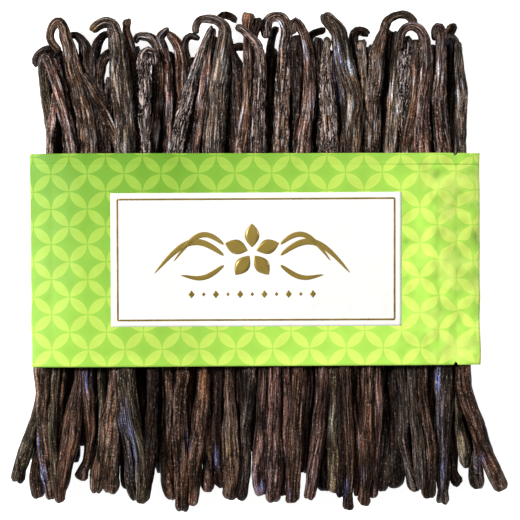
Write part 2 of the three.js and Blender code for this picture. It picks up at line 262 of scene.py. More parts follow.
# skins (upper, lower, cut end), creases, line of the upper part from the sachet's edge to
# the stem end and of the lower part to the blossom end: x, y and width in millimetres
middlePods = [
    (("ink", "umber"), 0.7,
     ((-62.8, 37, 2.8), (-65.6, 56, 2.8), (-66.3, 60.7, 2.8), (-67.3, 66, 2.8), (-68.7, 69.4, 3),
      (-70.8, 71.4, 3.6), (-73.2, 72.1, 3.9), (-75.8, 71, 3.4), (-77.3, 69.2, 3),
      (-77, 67.2, 2.7)),
     ((-68.4, -38, 3.1), (-69.7, -52, 2.8), (-70.4, -66, 2.8), (-70.4, -76, 2.4))),
    (("mauve", "umber"), 1.1,
     ((-64.2, 37, 2.4), (-67.3, 56, 2.4), (-68, 59.7, 2.4), (-69.1, 64.5, 2.3),
      (-70.1, 69.1, 2.1)),
     ((-74.6, -38, 2.8), (-75.6, -52, 2.8), (-77.3, -66, 2.6), (-78.1, -74.6, 3.6),
      (-77.4, -79, 4.4), (-76.9, -82, 3.9))),
    (("olive", "olive"), 0.6,
     ((-71.8, 37, 3.1), (-72.5, 45, 3.1), (-73.9, 56, 3.8), (-74.4, 61, 3.5), (-74.6, 66, 3.5),
      (-74.4, 69, 3.5), (-73.6, 70.5, 3.2)),
     ((-75.4, -38, 3), (-76.3, -48, 2.8), (-78.1, -55.5, 3.2), (-80.2, -62.5, 4.2),
      (-82.2, -68.7, 4.4), (-83.6, -72.9, 3.9), (-84.2, -76.3, 4.5))),
    (("ink", "umber"), 0.9,
     ((-56.6, 37, 4.4), (-58.3, 56, 5), (-59.4, 62.5, 5.3), (-60, 67.7, 5.3), (-60.4, 72.2, 4.7),
      (-61.6, 75.6, 3.2), (-63.8, 77.6, 2), (-65.9, 77.6, 1.9)),
     ((-60.7, -38, 4.9), (-60.7, -43.4, 4.6), (-60, -46.8, 4.9), (-59.3, -53.8, 4.2),
      (-58.8, -59, 3.1), (-59.3, -64.2, 2.8), (-60, -69.4, 2.8), (-61.3, -72.4, 3.2),
      (-62.3, -75.9, 4.7))),
    (("ink", "brown"), 0.9,
     ((-54.1, 37, 3.6), (-56.2, 56, 4.2), (-56.8, 62.5, 4.1), (-57, 70.1, 3.6), (-56.6, 73.2, 3.1),
      (-55.4, 76, 2.6), (-53.8, 77.6, 2.2), (-51.7, 77.7, 2.1)),
     ((-52.7, -38, 3.5), (-53.1, -52, 3.5), (-54.5, -60.7, 3.5), (-55.9, -67.7, 3.8),
      (-56.6, -72.9, 4.2), (-56.6, -77, 4.2), (-57.1, -80.2, 3.1))),
    (("ink", "olive"), 0.9,
     ((-52.7, 37, 2.8), (-54.5, 56, 2.3), (-55.2, 60.7, 2.6), (-55.2, 64.2, 3), (-54.6, 67.5, 3.4),
      (-53.4, 69.7, 3.6), (-51.8, 71, 3.6), (-50.6, 71.4, 3.4)),
     ((-54.5, -38, 2.4), (-54.5, -52, 2.4), (-55.2, -62.5, 2.1), (-55.5, -69.4, 2.1))),
    (("ink", "ink"), 0.9,
     ((-52.4, 37, 2.8), (-52.4, 56, 2.8), (-52, 62.5, 2.1)),
     ((-47.9, -38, 2.8), (-47.9, -52, 2.4), (-47.5, -62.5, 2.4), (-46.8, -69.4, 2.6),
      (-46.7, -74.6, 3.1), (-46.2, -79, 2.6))),
    (("umber", "ink"), 0.7,
     ((-43, 37, 3.4), (-43.6, 56, 3.6), (-44.3, 67, 3.7), (-45.3, 74.6, 3.2), (-46.4, 78.6, 2.6),
      (-46.4, 81, 2.3), (-46.2, 83.1, 3.1)),
     ((-41.6, -38, 2.8), (-41.3, -52, 2.8), (-39.6, -66, 3), (-38.9, -75.6, 2.8))),
    (("umber", "ink"), 0.9,
     ((-36.8, 37, 3.8), (-35.7, 56, 3.5), (-35.4, 64.2, 3.3), (-35.6, 70.1, 3.1), (-36.2, 74.4, 3),
      (-37.8, 76.6, 2.6), (-40.3, 77.4, 2.3), (-42.5, 77.4, 2.1), (-43.5, 75.6, 2)),
     ((-34.4, -38, 3.1), (-34.7, -52, 3.1), (-35.4, -64.2, 2.8))),
    (("rust", "umber"), 0.8,
     ((-29.1, 37, 3), (-26.9, 56, 3.2), (-27.1, 60.7, 3.6), (-27, 65.9, 3.9), (-27.2, 70.1, 4.2),
      (-28.1, 73.6, 3.7), (-29.8, 76.3, 2.8), (-31.6, 78.3, 2.6)),
     ((-24.3, -38, 2.8), (-24.3, -48.6, 2.6), (-24.8, -62.5, 2.6), (-25, -69.4, 2.6),
      (-25.2, -76.3, 2.4), (-25, -82.2, 2.1))),
    (("ink", "umber"), 0.8,
     ((-24.6, 37, 2.8), (-24.3, 56, 2.6), (-24.6, 65.9, 2.6), (-25.9, 72.9, 2.1), (-25.5, 76, 1.9),
      (-23.8, 77.2, 1.9), (-21.2, 76.3, 1.9)),
     ((-16.3, -38, 2.8), (-16.7, -48.6, 2.6), (-17.4, -55.5, 2.8), (-18, -62.5, 3.1),
      (-18, -69.4, 3.6), (-18, -74.6, 4.2), (-18.4, -79.5, 4.2))),
    (("slate", "ink"), 1.0,
     ((-18.5, 37, 3.4), (-17, 52, 3.4), (-16.3, 64, 3.3), (-15.9, 73, 3), (-15.6, 77.2, 2.4)),
     ((-14.2, -38, 2.8), (-14.6, -48.6, 2.8), (-14.9, -55.5, 2.8), (-14.9, -62.5, 3.1),
      (-14.7, -69.4, 3.5), (-14.1, -74.6, 4), (-13.2, -78.1, 3.3))),
    (("ink", "ink"), 0.8,
     ((-10.1, 37, 3.5), (-9.7, 56, 3.5), (-10.1, 69.4, 3.1), (-11.1, 76.3, 2.6),
      (-12.5, 80.5, 2.4), (-14.1, 82.9, 2.3), (-12.8, 84.7, 2.3), (-10.4, 84.3, 2.3),
      (-8.2, 83.1, 2.4)),
     ((-6.6, -38, 2.8), (-6.9, -52, 2.8), (-6.9, -62.5, 2.8), (-6.6, -72.9, 2.4))),
    (("ink", "ink"), 0.8,
     ((-7.2, 37, 5), (-7.2, 58, 5), (-7.4, 65.5, 5), (-9, 69.6, 3.6), (-9.6, 72.3, 2.9),
      (-8, 73.4, 2.8), (-5.6, 73.3, 2.8)),
     ((-1, -38, 3.1), (-1.4, -52, 3), (-2.1, -66, 2.8))),
    (("ink", "ink"), 0.6,
     ((-4.2, 37, 3.1), (-3.1, 56, 2.1), (-2.8, 69.4, 2.1), (-1.8, 78.1, 2.8), (-0.9, 81.2, 3.8),
      (-0.7, 83, 3.6)),
     ((12, -38, 3), (11.4, -52, 3), (10.6, -66, 2.8))),
    (("ink", "mauve"), 0.8,
     ((3.5, 37, 3.5), (3.5, 56, 3.1), (3.5, 69.4, 2.8), (3.8, 74.6, 2.6), (4.9, 78.8, 2.4),
      (5.9, 80.5, 2.5)),
     ((8.7, -38, 3.8), (8.7, -52, 3.8), (8.7, -59, 4.2), (9, -64.2, 3.8), (8.8, -69.4, 3.1),
      (8.3, -74.6, 2.8), (8.2, -78.1, 2.8), (8.3, -81, 3))),
    (("ink", "ink"), 0.9,
     ((11.5, 37, 3.5), (12.8, 52, 3.4), (12.4, 62.5, 4.4), (12.4, 69.4, 4.6), (12.5, 74.6, 4.2),
      (12.6, 77.2, 3.2)),
     ((16.7, -38, 3.1), (16.3, -48.6, 3.1), (15.6, -55.5, 2.8), (14.9, -62.5, 2.4),
      (14.7, -67.7, 2.4), (14.2, -72.9, 2.1))),
    (("ink", "ink"), 0.8,
     ((19.4, 37, 3.1), (19.4, 56, 3.1), (18.7, 65.9, 3.4), (17.6, 72.9, 3.2), (17, 76.3, 2.6),
      (18, 78.1, 2.2), (20.1, 79.1, 2), (22.6, 79.8, 2)),
     ((23.6, -38, 2.8), (23.2, -52, 2.8), (22.6, -60.7, 3.1), (22.2, -67.7, 4.2),
      (21.9, -72.9, 4.4), (22, -76.3, 4.4), (22.6, -79.5, 4.5))),
    (("ink", "ink"), 0.9,
     ((21, 37, 3), (21, 56, 3), (20.6, 66, 3.2), (20.2, 72, 3.4), (20.2, 76.4, 3.4)),
     ((24.6, -38, 2.6), (24.4, -52, 2.6), (24.2, -66, 2.6))),
    (("ink", "olive"), 0.8,
     ((27.4, 37, 3.1), (27.1, 48.6, 3.4), (25.4, 59, 4.2), (24.6, 66, 4.6), (24.2, 72, 3.6)),
     ((25.7, -38, 3.1), (25.7, -48.6, 2.8), (25.3, -59, 3.8), (25.7, -64.2, 4.2), (26, -69.4, 4.5),
      (26, -74.6, 4.2), (25.3, -79.7, 3.8))),
    (("ink", "ink"), 0.7,
     ((28.1, 37, 2.8), (31.9, 56, 3.1), (33.7, 65.9, 2.9), (33.3, 72.9, 3), (32.4, 76.6, 2.9),
      (33.2, 78.7, 2.7), (35.2, 79, 2.7), (37.3, 77.9, 2.8)),
     ((27.8, -38, 2.8), (28.1, -52, 2.4), (28.1, -66, 2.8), (27.9, -74.6, 3.1), (27.8, -81, 3.1))),
    (("slate", "rust"), 1.0,
     ((33.3, 37, 3.8), (35, 46.8, 3), (35.7, 56, 3.1), (35.7, 64.2, 3.5), (35.6, 71.1, 3.3),
      (35.3, 75.6, 3)),
     ((33.3, -38, 2.8), (33.7, -52, 2.8), (34.4, -62.5, 2.4), (34, -72.9, 2), (33.3, -80.9, 1.7))),
    (("ink", "soot"), 0.9,
     ((42.7, 37, 3.1), (43.7, 56, 2.8), (44.4, 65.9, 2.8), (44.6, 72.9, 2.6), (45.1, 77, 2.5),
      (45.8, 79.1, 2.8)),
     ((42, -38, 2.8), (43, -48.6, 2.8), (43.4, -59, 3.8), (43.2, -66, 4.5), (43, -71.1, 4.5),
      (42.7, -75.6, 4.2), (42.5, -79.5, 3.5))),
    (("ink", "ink"), 1.3,
     ((49.3, 37, 4.5), (50.3, 48.6, 5.2), (51, 56, 5.6), (51.4, 64.2, 5.9), (51.4, 70.1, 5.6),
      (51.4, 73.6, 4.2), (51, 77, 1.7)),
     ((45.8, -38, 3.8), (46.5, -48.6, 4.2), (47.2, -59, 4.5), (47.5, -66, 4.9), (47.2, -71.1, 5.2),
      (47, -75.6, 5.4), (46.8, -78.4, 4.5))),
    (("umber", "soot"), 0.8,
     ((50, 37, 3.4), (52.6, 52, 4), (53.8, 62, 4.6), (54.1, 70, 4.8), (53.9, 75.5, 3.6)),
     ((48.2, -38, 3.8), (48.9, -43.4, 3.8), (49.3, -48.6, 3.8), (49.3, -55.5, 3.8),
      (49.4, -62.5, 4.2), (50.7, -67.7, 3.6), (51.9, -72.9, 3.5), (53.1, -76.7, 3.8),
      (54.1, -79.5, 3.5))),
    (("ink", "umber"), 0.8,
     ((59, 37, 3.3), (59.4, 56, 3.3), (59.6, 66, 3.2), (59.4, 74, 2.6)),
     ((56.2, -38, 3.1), (56.6, -48.6, 3), (57.9, -57.3, 3.1), (59, -66, 3.8), (59, -72.9, 3.8),
      (58.6, -78.1, 4.2), (58.3, -81.5, 4.5))),
    (("ink", "ink"), 0.6,
     ((65.9, 37, 3.1), (65.6, 56, 2.4), (65.3, 69.4, 2.4), (65.3, 74.6, 2.8), (65.9, 78.1, 3.2),
      (66.9, 80.6, 3.9), (67.2, 82, 3.5)),
     ((65.9, -38, 3.1), (66.6, -52, 3.1), (67.3, -62.5, 3.1), (67.1, -70.1, 2.8),
      (67.1, -73.2, 2.8), (68, -75.6, 3.4), (69.4, -77.5, 3.8))),
    (("soot", "olive"), 0.6,
     ((68, 37, 3.8), (68, 56, 3.5), (68.3, 64, 3.8), (68.1, 70.5, 3.6), (67.9, 74, 3.2),
      (66.9, 76.6, 2.8), (65.4, 76.8, 2.6), (64.7, 74.4, 2.6)),
     ((67.7, -38, 2.8), (68.4, -48.6, 2.8), (69.1, -53.8, 2.8), (69.7, -59, 3.1),
      (70.6, -62.5, 3.5), (71.1, -66.6, 3.7), (71.5, -69.7, 3.4), (71.5, -71.8, 2.1))),
    (("soot", "soot"), 0.5,
     ((68.7, 37, 2.4), (69, 52, 2.4), (69, 59, 2.1)),
     ((71.5, -38, 2.8), (72.2, -48.6, 2.4), (73.2, -55.5, 2.1), (74.3, -60.7, 2.1), (75, -66, 3.1),
      (75, -69.4, 4.2), (75.1, -72.9, 4.8), (75.3, -76.3, 4.7), (75.8, -78.8, 3.8))),
]
frontPods = [
    (("mauve", "brown"), 1.1,
     ((-72.4, 37, 2.8), (-72, 46.8, 2.6), (-71.5, 52, 2.6), (-70.4, 57.3, 2.3), (-69, 61, 2)),
     ((-75.3, -38, 5.2), (-74.8, -45.1, 4.5), (-75.3, -52, 4.2), (-75, -59, 4.4),
      (-74.3, -66, 4.5), (-73.7, -72.9, 4.2), (-72.9, -78.1, 3.1), (-72.2, -82.2, 3.1))),
    (("mauve", "olive"), 1.0,
     ((-65.1, 37, 5.2), (-65.6, 41.6, 4.5), (-66.6, 46.8, 3.8), (-68.4, 53.1, 3.8),
      (-70.3, 59.7, 3.1), (-71.8, 64.5, 3.3), (-73.2, 68, 3.5), (-74.3, 70.1, 3.3)),
     ((-71.1, -38, 3.8), (-71.5, -48.6, 3.5), (-71.8, -59, 3.8), (-71.1, -69.4, 3.1),
      (-70.6, -76.3, 2.8), (-70.4, -81.2, 1.7))),
    (("brown", "brown"), 0.8,
     ((-48.2, 37, 3.1), (-49.6, 41, 3.1), (-51.7, 45.8, 3.3), (-53.4, 49.6, 3.3),
      (-55.9, 54.5, 3.1), (-58.3, 59, 2.8), (-60.7, 63.8, 2.4)),
     ((-50, -38, 3.1), (-50.3, -43.4, 3.5), (-50.7, -48.6, 4.2), (-51.4, -53.8, 5.4),
      (-51.7, -59, 6.2), (-51.9, -64.2, 6.2), (-52, -69.4, 6.2), (-52, -74.6, 5.9),
      (-51.7, -77.7, 5.2), (-51.7, -79.8, 4.5))),
    (("brown", "rust"), 0.75,
     ((-59, 37, 5.9), (-60.2, 48.6, 5.9), (-61.2, 53.8, 5.9), (-62.5, 59.7, 5.6), (-64, 64.2, 5.2),
      (-65.2, 69.4, 5), (-66.1, 73.6, 4.4), (-67.3, 77, 3.6), (-68, 80, 3.1), (-69.7, 82, 2.9),
      (-71.2, 80.9, 2.8), (-72.2, 79, 2.5), (-72.6, 76.9, 2.4), (-72, 74.9, 2.3),
      (-70.6, 73.2, 2.3), (-69.4, 71.7, 2.2)),
     ((-62.6, -38, 2.1), (-62.9, -43.4, 2.8), (-63.8, -48.6, 4.2), (-64.9, -55.5, 5.2),
      (-65.4, -60.7, 5.6), (-66.6, -66, 5.6), (-67.7, -71.1, 5.2), (-68.5, -76.3, 4.5),
      (-69, -79.8, 3.5), (-68.9, -83.1, 3.2))),
    (("ink", "soot"), 0.9,
     ((-42.7, 37, 2.8), (-42.7, 55.5, 2.4), (-42.7, 64.2, 2.1)),
     ((-48.9, -38, 2.4), (-48.6, -45.1, 2.4), (-47.9, -50.3, 2.8), (-47.2, -53.8, 3.5),
      (-46.3, -59, 3.8), (-45.3, -64.2, 3.8), (-44.6, -69.4, 3.8), (-44.2, -74.6, 4.2),
      (-43.5, -79.1, 4.2), (-42.9, -82.2, 3.2))),
    (("slate", "olive", "ochre"), 0.9,
     ((-46.5, 37, 6.6), (-46.7, 48.6, 6.2), (-47.2, 53.8, 6.2), (-47.9, 59, 6.4),
      (-48.4, 64.2, 6.2), (-48.9, 69.4, 6.1), (-49.5, 74.6, 5.6), (-50.3, 78.8, 4.6),
      (-51.3, 80.9, 3.5), (-53.4, 81.5, 3.2), (-55.9, 80.4, 2.9), (-57.8, 78.6, 2.7)),
     ((-45.8, -38, 5.2), (-44.8, -48.6, 4.9), (-44.1, -53.8, 4.9), (-43, -59, 4.5),
      (-41.6, -64.2, 4.5), (-40.6, -69.4, 4.7), (-40.1, -74.6, 4.9), (-40.1, -79.1, 4.5),
      (-40.8, -83.3, 4))),
    (("ink", "ink"), 1.6,
     ((-39.6, 37, 3.8), (-40.1, 48.6, 4.4), (-39.9, 56, 4.4), (-39.9, 62.5, 4.2),
      (-40.2, 67.3, 4.2), (-39.9, 70.6, 3.6), (-38.6, 72, 2.8), (-37.1, 71.3, 2.5),
      (-36.6, 69.2, 2.3), (-36.8, 67, 2.1)),
     ((-37, -38, 3.8), (-36.8, -43.4, 3.8), (-37.1, -50.3, 3.5), (-37.8, -59, 4.2),
      (-37.8, -66.5, 4.6), (-38, -71.9, 3.5), (-38.6, -76, 2.8), (-39.2, -79.4, 2.1))),
    (("mauve", "umber"), 0.9,
     ((-32.3, 37, 2.6), (-31.9, 45.1, 2.6), (-31.6, 56, 2.9), (-31.9, 64.2, 2.9),
      (-32.6, 70.4, 3.1), (-33.7, 74.3, 3.3), (-34.5, 76.7, 3), (-33.3, 78.6, 2.4),
      (-31.8, 79.8, 2.2)),
     ((-32.3, -38, 3.5), (-31.9, -48.6, 2.8), (-32.3, -55.5, 3.1), (-32.3, -62.5, 3.8),
      (-32.3, -69.4, 4.9), (-31.9, -74.6, 5.2), (-31.6, -78.8, 4.5), (-30.9, -82.6, 2.8))),
    (("mauve", "rust"), 0.9,
     ((-21.9, 37, 4.2), (-21.3, 43.4, 3.8), (-20.8, 48.6, 3.8), (-20.1, 53.8, 3.8),
      (-19.4, 59, 3.6), (-18.7, 64.2, 3.3), (-17.9, 69.4, 2.4), (-17, 74.6, 2.1),
      (-16.1, 79.8, 1.7)),
     ((-19.4, -38, 4.2), (-19.8, -43.4, 4.2), (-20.1, -48.6, 4.9), (-20.8, -53.8, 5.2),
      (-21.3, -59, 5.2), (-22, -64.2, 5.2), (-22.6, -69.4, 4.9), (-22.9, -74.6, 4.5),
      (-23.1, -79.8, 3.8), (-23.6, -84.5, 3.3))),
    (("soot", "umber"), 1.3,
     ((-29, 37, 4.5), (-28.1, 43.4, 4.4), (-26.9, 48.6, 4.3), (-25.5, 53.8, 4.2), (-24.3, 59, 4),
      (-22.6, 64.2, 3.3), (-20.8, 69.4, 2.8), (-19.4, 73.9, 2.3), (-18, 77.4, 1.9),
      (-16.8, 80.5, 1.4)),
     ((-26.7, -38, 5.2), (-27.4, -43.4, 5.2), (-27.9, -48.6, 5.2), (-28.1, -55.5, 4.9),
      (-27.8, -60.7, 5.2), (-27.4, -67.7, 5.2), (-27.1, -72.9, 5.2), (-27.1, -78.1, 4.7),
      (-27.1, -82.6, 4.2), (-27.1, -86.4, 4.2))),
    (("slate", "brown"), 0.9,
     ((-15.8, 37, 6.6), (-15.4, 43.4, 6.8), (-14.9, 50.3, 6.6), (-14.2, 59, 6.4),
      (-13.5, 64.2, 6.1), (-13, 69.4, 5.6), (-12.5, 74.3, 4.9), (-12.1, 78.4, 4.2),
      (-13, 81.2, 3.3), (-15.3, 82.7, 2.6), (-18.6, 83.1, 2.4), (-21, 82.6, 2.3),
      (-22.1, 80.7, 2.2), (-22.2, 78.4, 2.2)),
     ((-10.8, -38, 4), (-10.8, -43.4, 4.2), (-10.4, -48.6, 3.8), (-10.1, -53.8, 4.3),
      (-10.1, -59, 5.2), (-9.7, -64.2, 5.9), (-9.5, -69.4, 5.9), (-9.7, -74.6, 5.2),
      (-10.2, -78.8, 4.7), (-10.8, -82.4, 4.4))),
    (("rust", "soot"), 0.9,
     ((-7.1, 37, 4.2), (-6.2, 43.4, 4), (-5.4, 48.6, 3.5), (-4.7, 53.8, 2.6), (-4.3, 60.7, 2.5),
      (-4.3, 69.4, 2.4), (-4.3, 76.3, 2.2), (-4.3, 79.8, 2.6), (-4.1, 82.2, 4), (-4, 84.7, 3.9)),
     ((-3.5, -38, 4.5), (-3.6, -43.4, 4.5), (-4, -48.6, 4.2), (-4.3, -53.8, 3.8), (-4.9, -59, 3.5),
      (-5, -64.2, 3.5), (-4.9, -69.4, 3.2), (-5.1, -74.6, 2.9), (-5.9, -79.1, 3.1),
      (-6.9, -82.6, 3.6))),
    (("mauve", "mauve"), 1.2,
     ((-0.9, 37, 5.2), (-0.7, 43.4, 4.9), (-0.7, 48.6, 4.5), (-0.7, 53.8, 4.5), (-0.3, 59, 4.2),
      (0, 64.2, 3.8), (-0.2, 69.4, 3.6), (-0.7, 73.6, 3.1), (-2.8, 76.3, 2.5), (-5.6, 78.6, 2.4),
      (-8, 80.3, 2.5)),
     ((1.4, -38, 3.5), (1, -48.6, 3.8), (0.7, -55.5, 3.8), (0.7, -62.5, 4.5), (0.3, -67.7, 5.2),
      (-0.1, -72.9, 5.2), (-0.1, -77, 4.8), (0.7, -80.9, 3.8))),
    (("brown", "mauve"), 1.1,
     ((7.1, 37, 5.2), (7.3, 48.6, 4.9), (7.6, 53.8, 4.9), (8, 59, 4.9), (8.3, 64.2, 4.9),
      (8.5, 69.4, 4.3), (8.8, 74.3, 3.8), (9.3, 77.8, 3.6), (9, 81, 3.6), (7.7, 83.4, 3.5),
      (5.2, 84.1, 3.5), (2.9, 82.9, 3.5), (2.1, 80.2, 3.5), (2.4, 77, 3.4)),
     ((5.2, -38, 3.8), (4.9, -45.1, 3.8), (4.9, -52, 4), (4.5, -59, 4.5), (4.7, -66, 5.4),
      (4.9, -72.9, 5.4), (4.7, -78.1, 5.2), (4.5, -83.3, 4.8))),
    (("mauve", "rust"), 0.9,
     ((14.9, 37, 5.6), (15.4, 43.4, 5.2), (16.3, 48.6, 4.9), (16.8, 53.8, 4.7), (17, 59, 4.5),
      (17.2, 64.2, 4.5), (17, 69.4, 4.3), (16.5, 73, 4), (15.2, 77.2, 3.4), (13.7, 80.3, 3.1),
      (12.2, 82.1, 2.9), (11.3, 80.5, 2.8), (11.6, 78, 2.9)),
     ((13.5, -38, 4.9), (13.5, -43.4, 4.9), (13.2, -48.6, 4.5), (12.8, -55.5, 4.2),
      (12.5, -62.5, 4.5), (12.3, -67.7, 4.7), (11.8, -72.9, 4.5), (11.5, -78.1, 4.2),
      (11.1, -83.3, 4.4))),
    (("brown", "mauve"), 1.35,
     ((23.8, 37, 6.6), (23.8, 43.4, 6.2), (23.6, 50.3, 5.7), (23.2, 59, 4.7), (22.9, 64.2, 4.2),
      (22.9, 68.7, 3.6), (23.2, 72.2, 2.4), (23.2, 75.3, 2), (22.6, 76.3, 1.9)),
     ((21.9, -38, 4.5), (21.9, -43.4, 4.5), (21.5, -48.6, 4.5), (20.8, -53.8, 4.7),
      (20.5, -59, 4.7), (20, -62.5, 4.5), (19.1, -67.7, 4.2), (18.4, -72.9, 4.2),
      (17.9, -77.4, 3.8), (17, -81.9, 3.5))),
    (("slate", "umber"), 0.7,
     ((31.8, 37, 5), (31.8, 43.4, 5.8), (31.8, 48.6, 6.2), (31.8, 53.8, 6.6), (31.2, 58.3, 6.7),
      (29.8, 63.5, 6.6), (28.6, 69.4, 6.2), (27.9, 74.3, 6), (26.8, 78.8, 5.7), (24.2, 81.9, 4.8),
      (21.7, 84.3, 4.4)),
     ((29.5, -38, 3.1), (29.8, -43.4, 2.9), (30.2, -52, 3.1), (30.7, -62.5, 3), (30.9, -69.4, 3.1),
      (30.7, -74.6, 3.1), (30.5, -79.1, 2.8), (30.4, -82.2, 2.9), (30.5, -85.5, 3.9))),
    (("slate", "mauve"), 0.8,
     ((45.1, 37, 4.9), (45.5, 43.4, 4.9), (46, 48.6, 4.7), (46.2, 53.8, 4.5), (46.3, 59, 3.8),
      (46.8, 64.2, 3.5), (47.2, 69.4, 3.3), (47.5, 74.6, 3.1), (47.9, 78.8, 2.8)),
     ((40.3, -38, 3.5), (40.6, -48.6, 3.3), (40.3, -59, 3.3), (39.7, -66, 3.5), (39.6, -72.9, 3.1),
      (39.4, -78.1, 2.4), (39.2, -81.7, 2.6))),
    (("brown", "rust"), 1.0,
     ((38.7, 37, 5.6), (38.9, 48.6, 5.2), (39, 55.5, 5), (39.6, 60.7, 5.2), (40.1, 65.9, 5.2),
      (40.4, 71.1, 5.2), (41.6, 75.3, 3.8), (42.8, 79, 2.9), (44.1, 82.4, 2.7), (46.5, 84.1, 2.5),
      (49.3, 84.7, 2.5), (51.7, 83.8, 2.5), (53.4, 81.5, 2.6)),
     ((37.5, -38, 4.2), (37.5, -48.6, 4.3), (37.3, -57.3, 4.3), (37.1, -62.5, 4.7),
      (36.8, -69.4, 4.5), (36.6, -74.6, 4.2), (36.1, -79.8, 3.5), (35.9, -84, 4.5))),
    (("mauve", "slate"), 0.9,
     ((55.7, 37, 6.6), (55.9, 43.4, 5.4), (55.9, 48.6, 4.5), (56.2, 53.8, 4.2), (56.7, 59, 4.5),
      (57.1, 64.2, 4.5), (57.3, 69.4, 4.2), (57.1, 72.9, 3.8), (56.6, 76.7, 3.1), (55, 79.3, 2.7),
      (52.7, 80.3, 2.6), (50.5, 79.8, 2.6), (48.9, 77.9, 2.6), (48.2, 75.1, 2.5),
      (47.9, 72.2, 2.4)),
     ((52.7, -38, 3.5), (53.1, -48.6, 3.5), (54, -57.3, 3.5), (54.8, -62.5, 3.8),
      (55.2, -67.7, 4.2), (55.5, -72.9, 4.2), (55.9, -78.4, 3.5))),
    (("mauve", "soot"), 1.0,
     ((63, 37, 5.2), (62.5, 43.4, 5.5), (62.1, 48.6, 5.5), (61.9, 53.8, 5.2), (61.9, 59, 4.5),
      (62.1, 64.2, 4.2), (62.3, 69.4, 3.9), (62.6, 74.3, 3.6), (62.8, 78.1, 3), (61.7, 80.3, 2.7),
      (60.6, 79.1, 2.5), (60.6, 76, 2.5)),
     ((63.5, -38, 5.9), (63.5, -43.4, 5.9), (63.7, -48.6, 5.5), (63.7, -55.5, 4.9),
      (63.7, -62.5, 4.5), (63.7, -67.7, 4.5), (63.5, -72.9, 4.5), (63.5, -77.4, 3.8),
      (63.5, -80.5, 3.3), (63.5, -83.8, 4.5))),
    (("soot", "umber"), 0.6,
     ((69.4, 37, 3.2), (69.6, 48.6, 3.2), (69.9, 53.8, 3.3), (69.7, 59, 3.1), (69, 64.2, 2.6),
      (68.9, 68.7, 2.2), (68.7, 72.9, 2), (68.5, 75, 2)),
     ((70.3, -38, 4.7), (70.3, -41.6, 4.7), (71.3, -46.8, 4.9), (73.1, -52, 5.2),
      (75.1, -57.3, 5.2), (76.7, -62.5, 4.9), (78.4, -67, 4.9), (80.2, -71.1, 4.9),
      (82.1, -75.3, 4.9), (83.8, -78.8, 4.5))),
]

# the layer on the table: laid out evenly with seeded unevenness
bottomLayer = {
    "count": 36,
    "stemSpan": 141,
    "edgeSpans": (137, 145),  # where the layer goes under the sachet, stem side first
    "tipSpan": 150,
    "shift": -2.2,
    "jitter": (0.6, 0.9, 0.4),  # of the stem end, the blossom end and the middle
    "stemReach": (70, 74),
    "tipReach": (69, 74),
    # where daylight shows between the crooks and the feet: x and how far the layer reaches
    "stemOpenings": ((-53.5, 61), (-38, 66), (-7.5, 67.5), (65.5, 58)),
    "tipOpenings": ((-61, 64), (69, 66)),
    "openingHalf": 3.2,
    "widths": (4.8, 5.6),
    "creases": 0.7,
    # near-black skins for most of this layer: dark pods, and partly painted shade in the gaps
    # between the pods above
    "skins": ("ink", "umber", "ink", "ink"),
    "seed": 5,
}


# rows like those above: at share i / (count - 1) - 0.5 of each span across, plus a shift and
# normal unevenness, and as far along as a random reach
def layBottomPods(spec):
    rng = np.random.default_rng(spec["seed"])

    # the longest reach, or less where a pod's end would stand in an opening
    def reach(end, x):
        longest = rng.uniform(*spec[end + "Reach"])
        openings = [far for place, far in spec[end + "Openings"]
                    if abs(x - place) < spec["openingHalf"]]
        return min([longest] + openings)

    rows = []
    top, bottom = podKinds["sachetEdges"]
    for i in range(spec["count"]):
        place = i / (spec["count"] - 1) - 0.5
        width = rng.uniform(*spec["widths"])
        jitter = rng.normal(0, 1, 3) * spec["jitter"] + spec["shift"]
        stem, tip = place * spec["stemSpan"] + jitter[0], place * spec["tipSpan"] + jitter[1]
        atTop, atBottom = (place * span + jitter[2] for span in spec["edgeSpans"])
        stemEnd, tipEnd = reach("stem", stem), -reach("tip", tip)
        upper = (atTop, top, width), (stem, stemEnd - 8, width), (stem, stemEnd, width * 0.95)
        lower = ((atBottom, bottom, width), (tip, tipEnd + 9, width * 0.95),
                 (tip, tipEnd, width * 0.8))
        rows.append((tuple(rng.choice(spec["skins"], 2)), spec["creases"], upper, lower))
    return rows


# Catmull-Rom with knots spaced by the square root of each step: between two points the
# curve is blended three times over by the share of the way from knot to knot
def smoothLine(points, perSpan=10):
    p = np.asarray(points, dtype=float)
    p = np.vstack([2 * p[0] - p[1], p, 2 * p[-1] - p[-2]])
    steps = np.linalg.norm(np.diff(p[:, :2], axis=0), axis=1)
    knots = np.concatenate([[0], np.cumsum(np.sqrt(steps))])
    a, b, c, d = (p[k:len(p) - 3 + k, None, :] for k in range(4))
    ka, kb, kc, kd = (knots[k:len(p) - 3 + k, None, None] for k in range(4))
    t = kb + (kc - kb) * (np.arange(perSpan) / perSpan)[None, :, None]
    blend = lambda p0, p1, k0, k1: p0 * (k1 - t) / (k1 - k0) + p1 * (t - k0) / (k1 - k0)
    ab, bc, cd = blend(a, b, ka, kb), blend(b, c, kb, kc), blend(c, d, kc, kd)
    curve = blend(blend(ab, bc, ka, kc), blend(bc, cd, kb, kd), kb, kc)
    return np.vstack([curve.reshape(-1, p.shape[1]), p[-2]])


# the line and width of a pod from its blossom end to its stem end, seen from above; the
# body between its ends is fuller by the given share, eased as 3t^2 - 2t^3, and thin parts
# have a little loose skin more
def podLine(row, fuller):
    line = smoothLine(row[3][::-1] + row[2])
    body = np.clip(7 - line[:, 1] / 10.5, 0, 1)
    line[:, 2] *= 1 + fuller * body ** 2 * (3 - 2 * body)
    skin, thin = podKinds["looseSkin"]
    line[:, 2] += skin * np.clip((thin - line[:, 2]) / 1.5, 0, 1)
    sideways, upward, downward = podKinds["reach"]
    line[:, 0] *= sideways
    line[:, 1] *= np.where(line[:, 1] > 0, upward, downward)
    return line


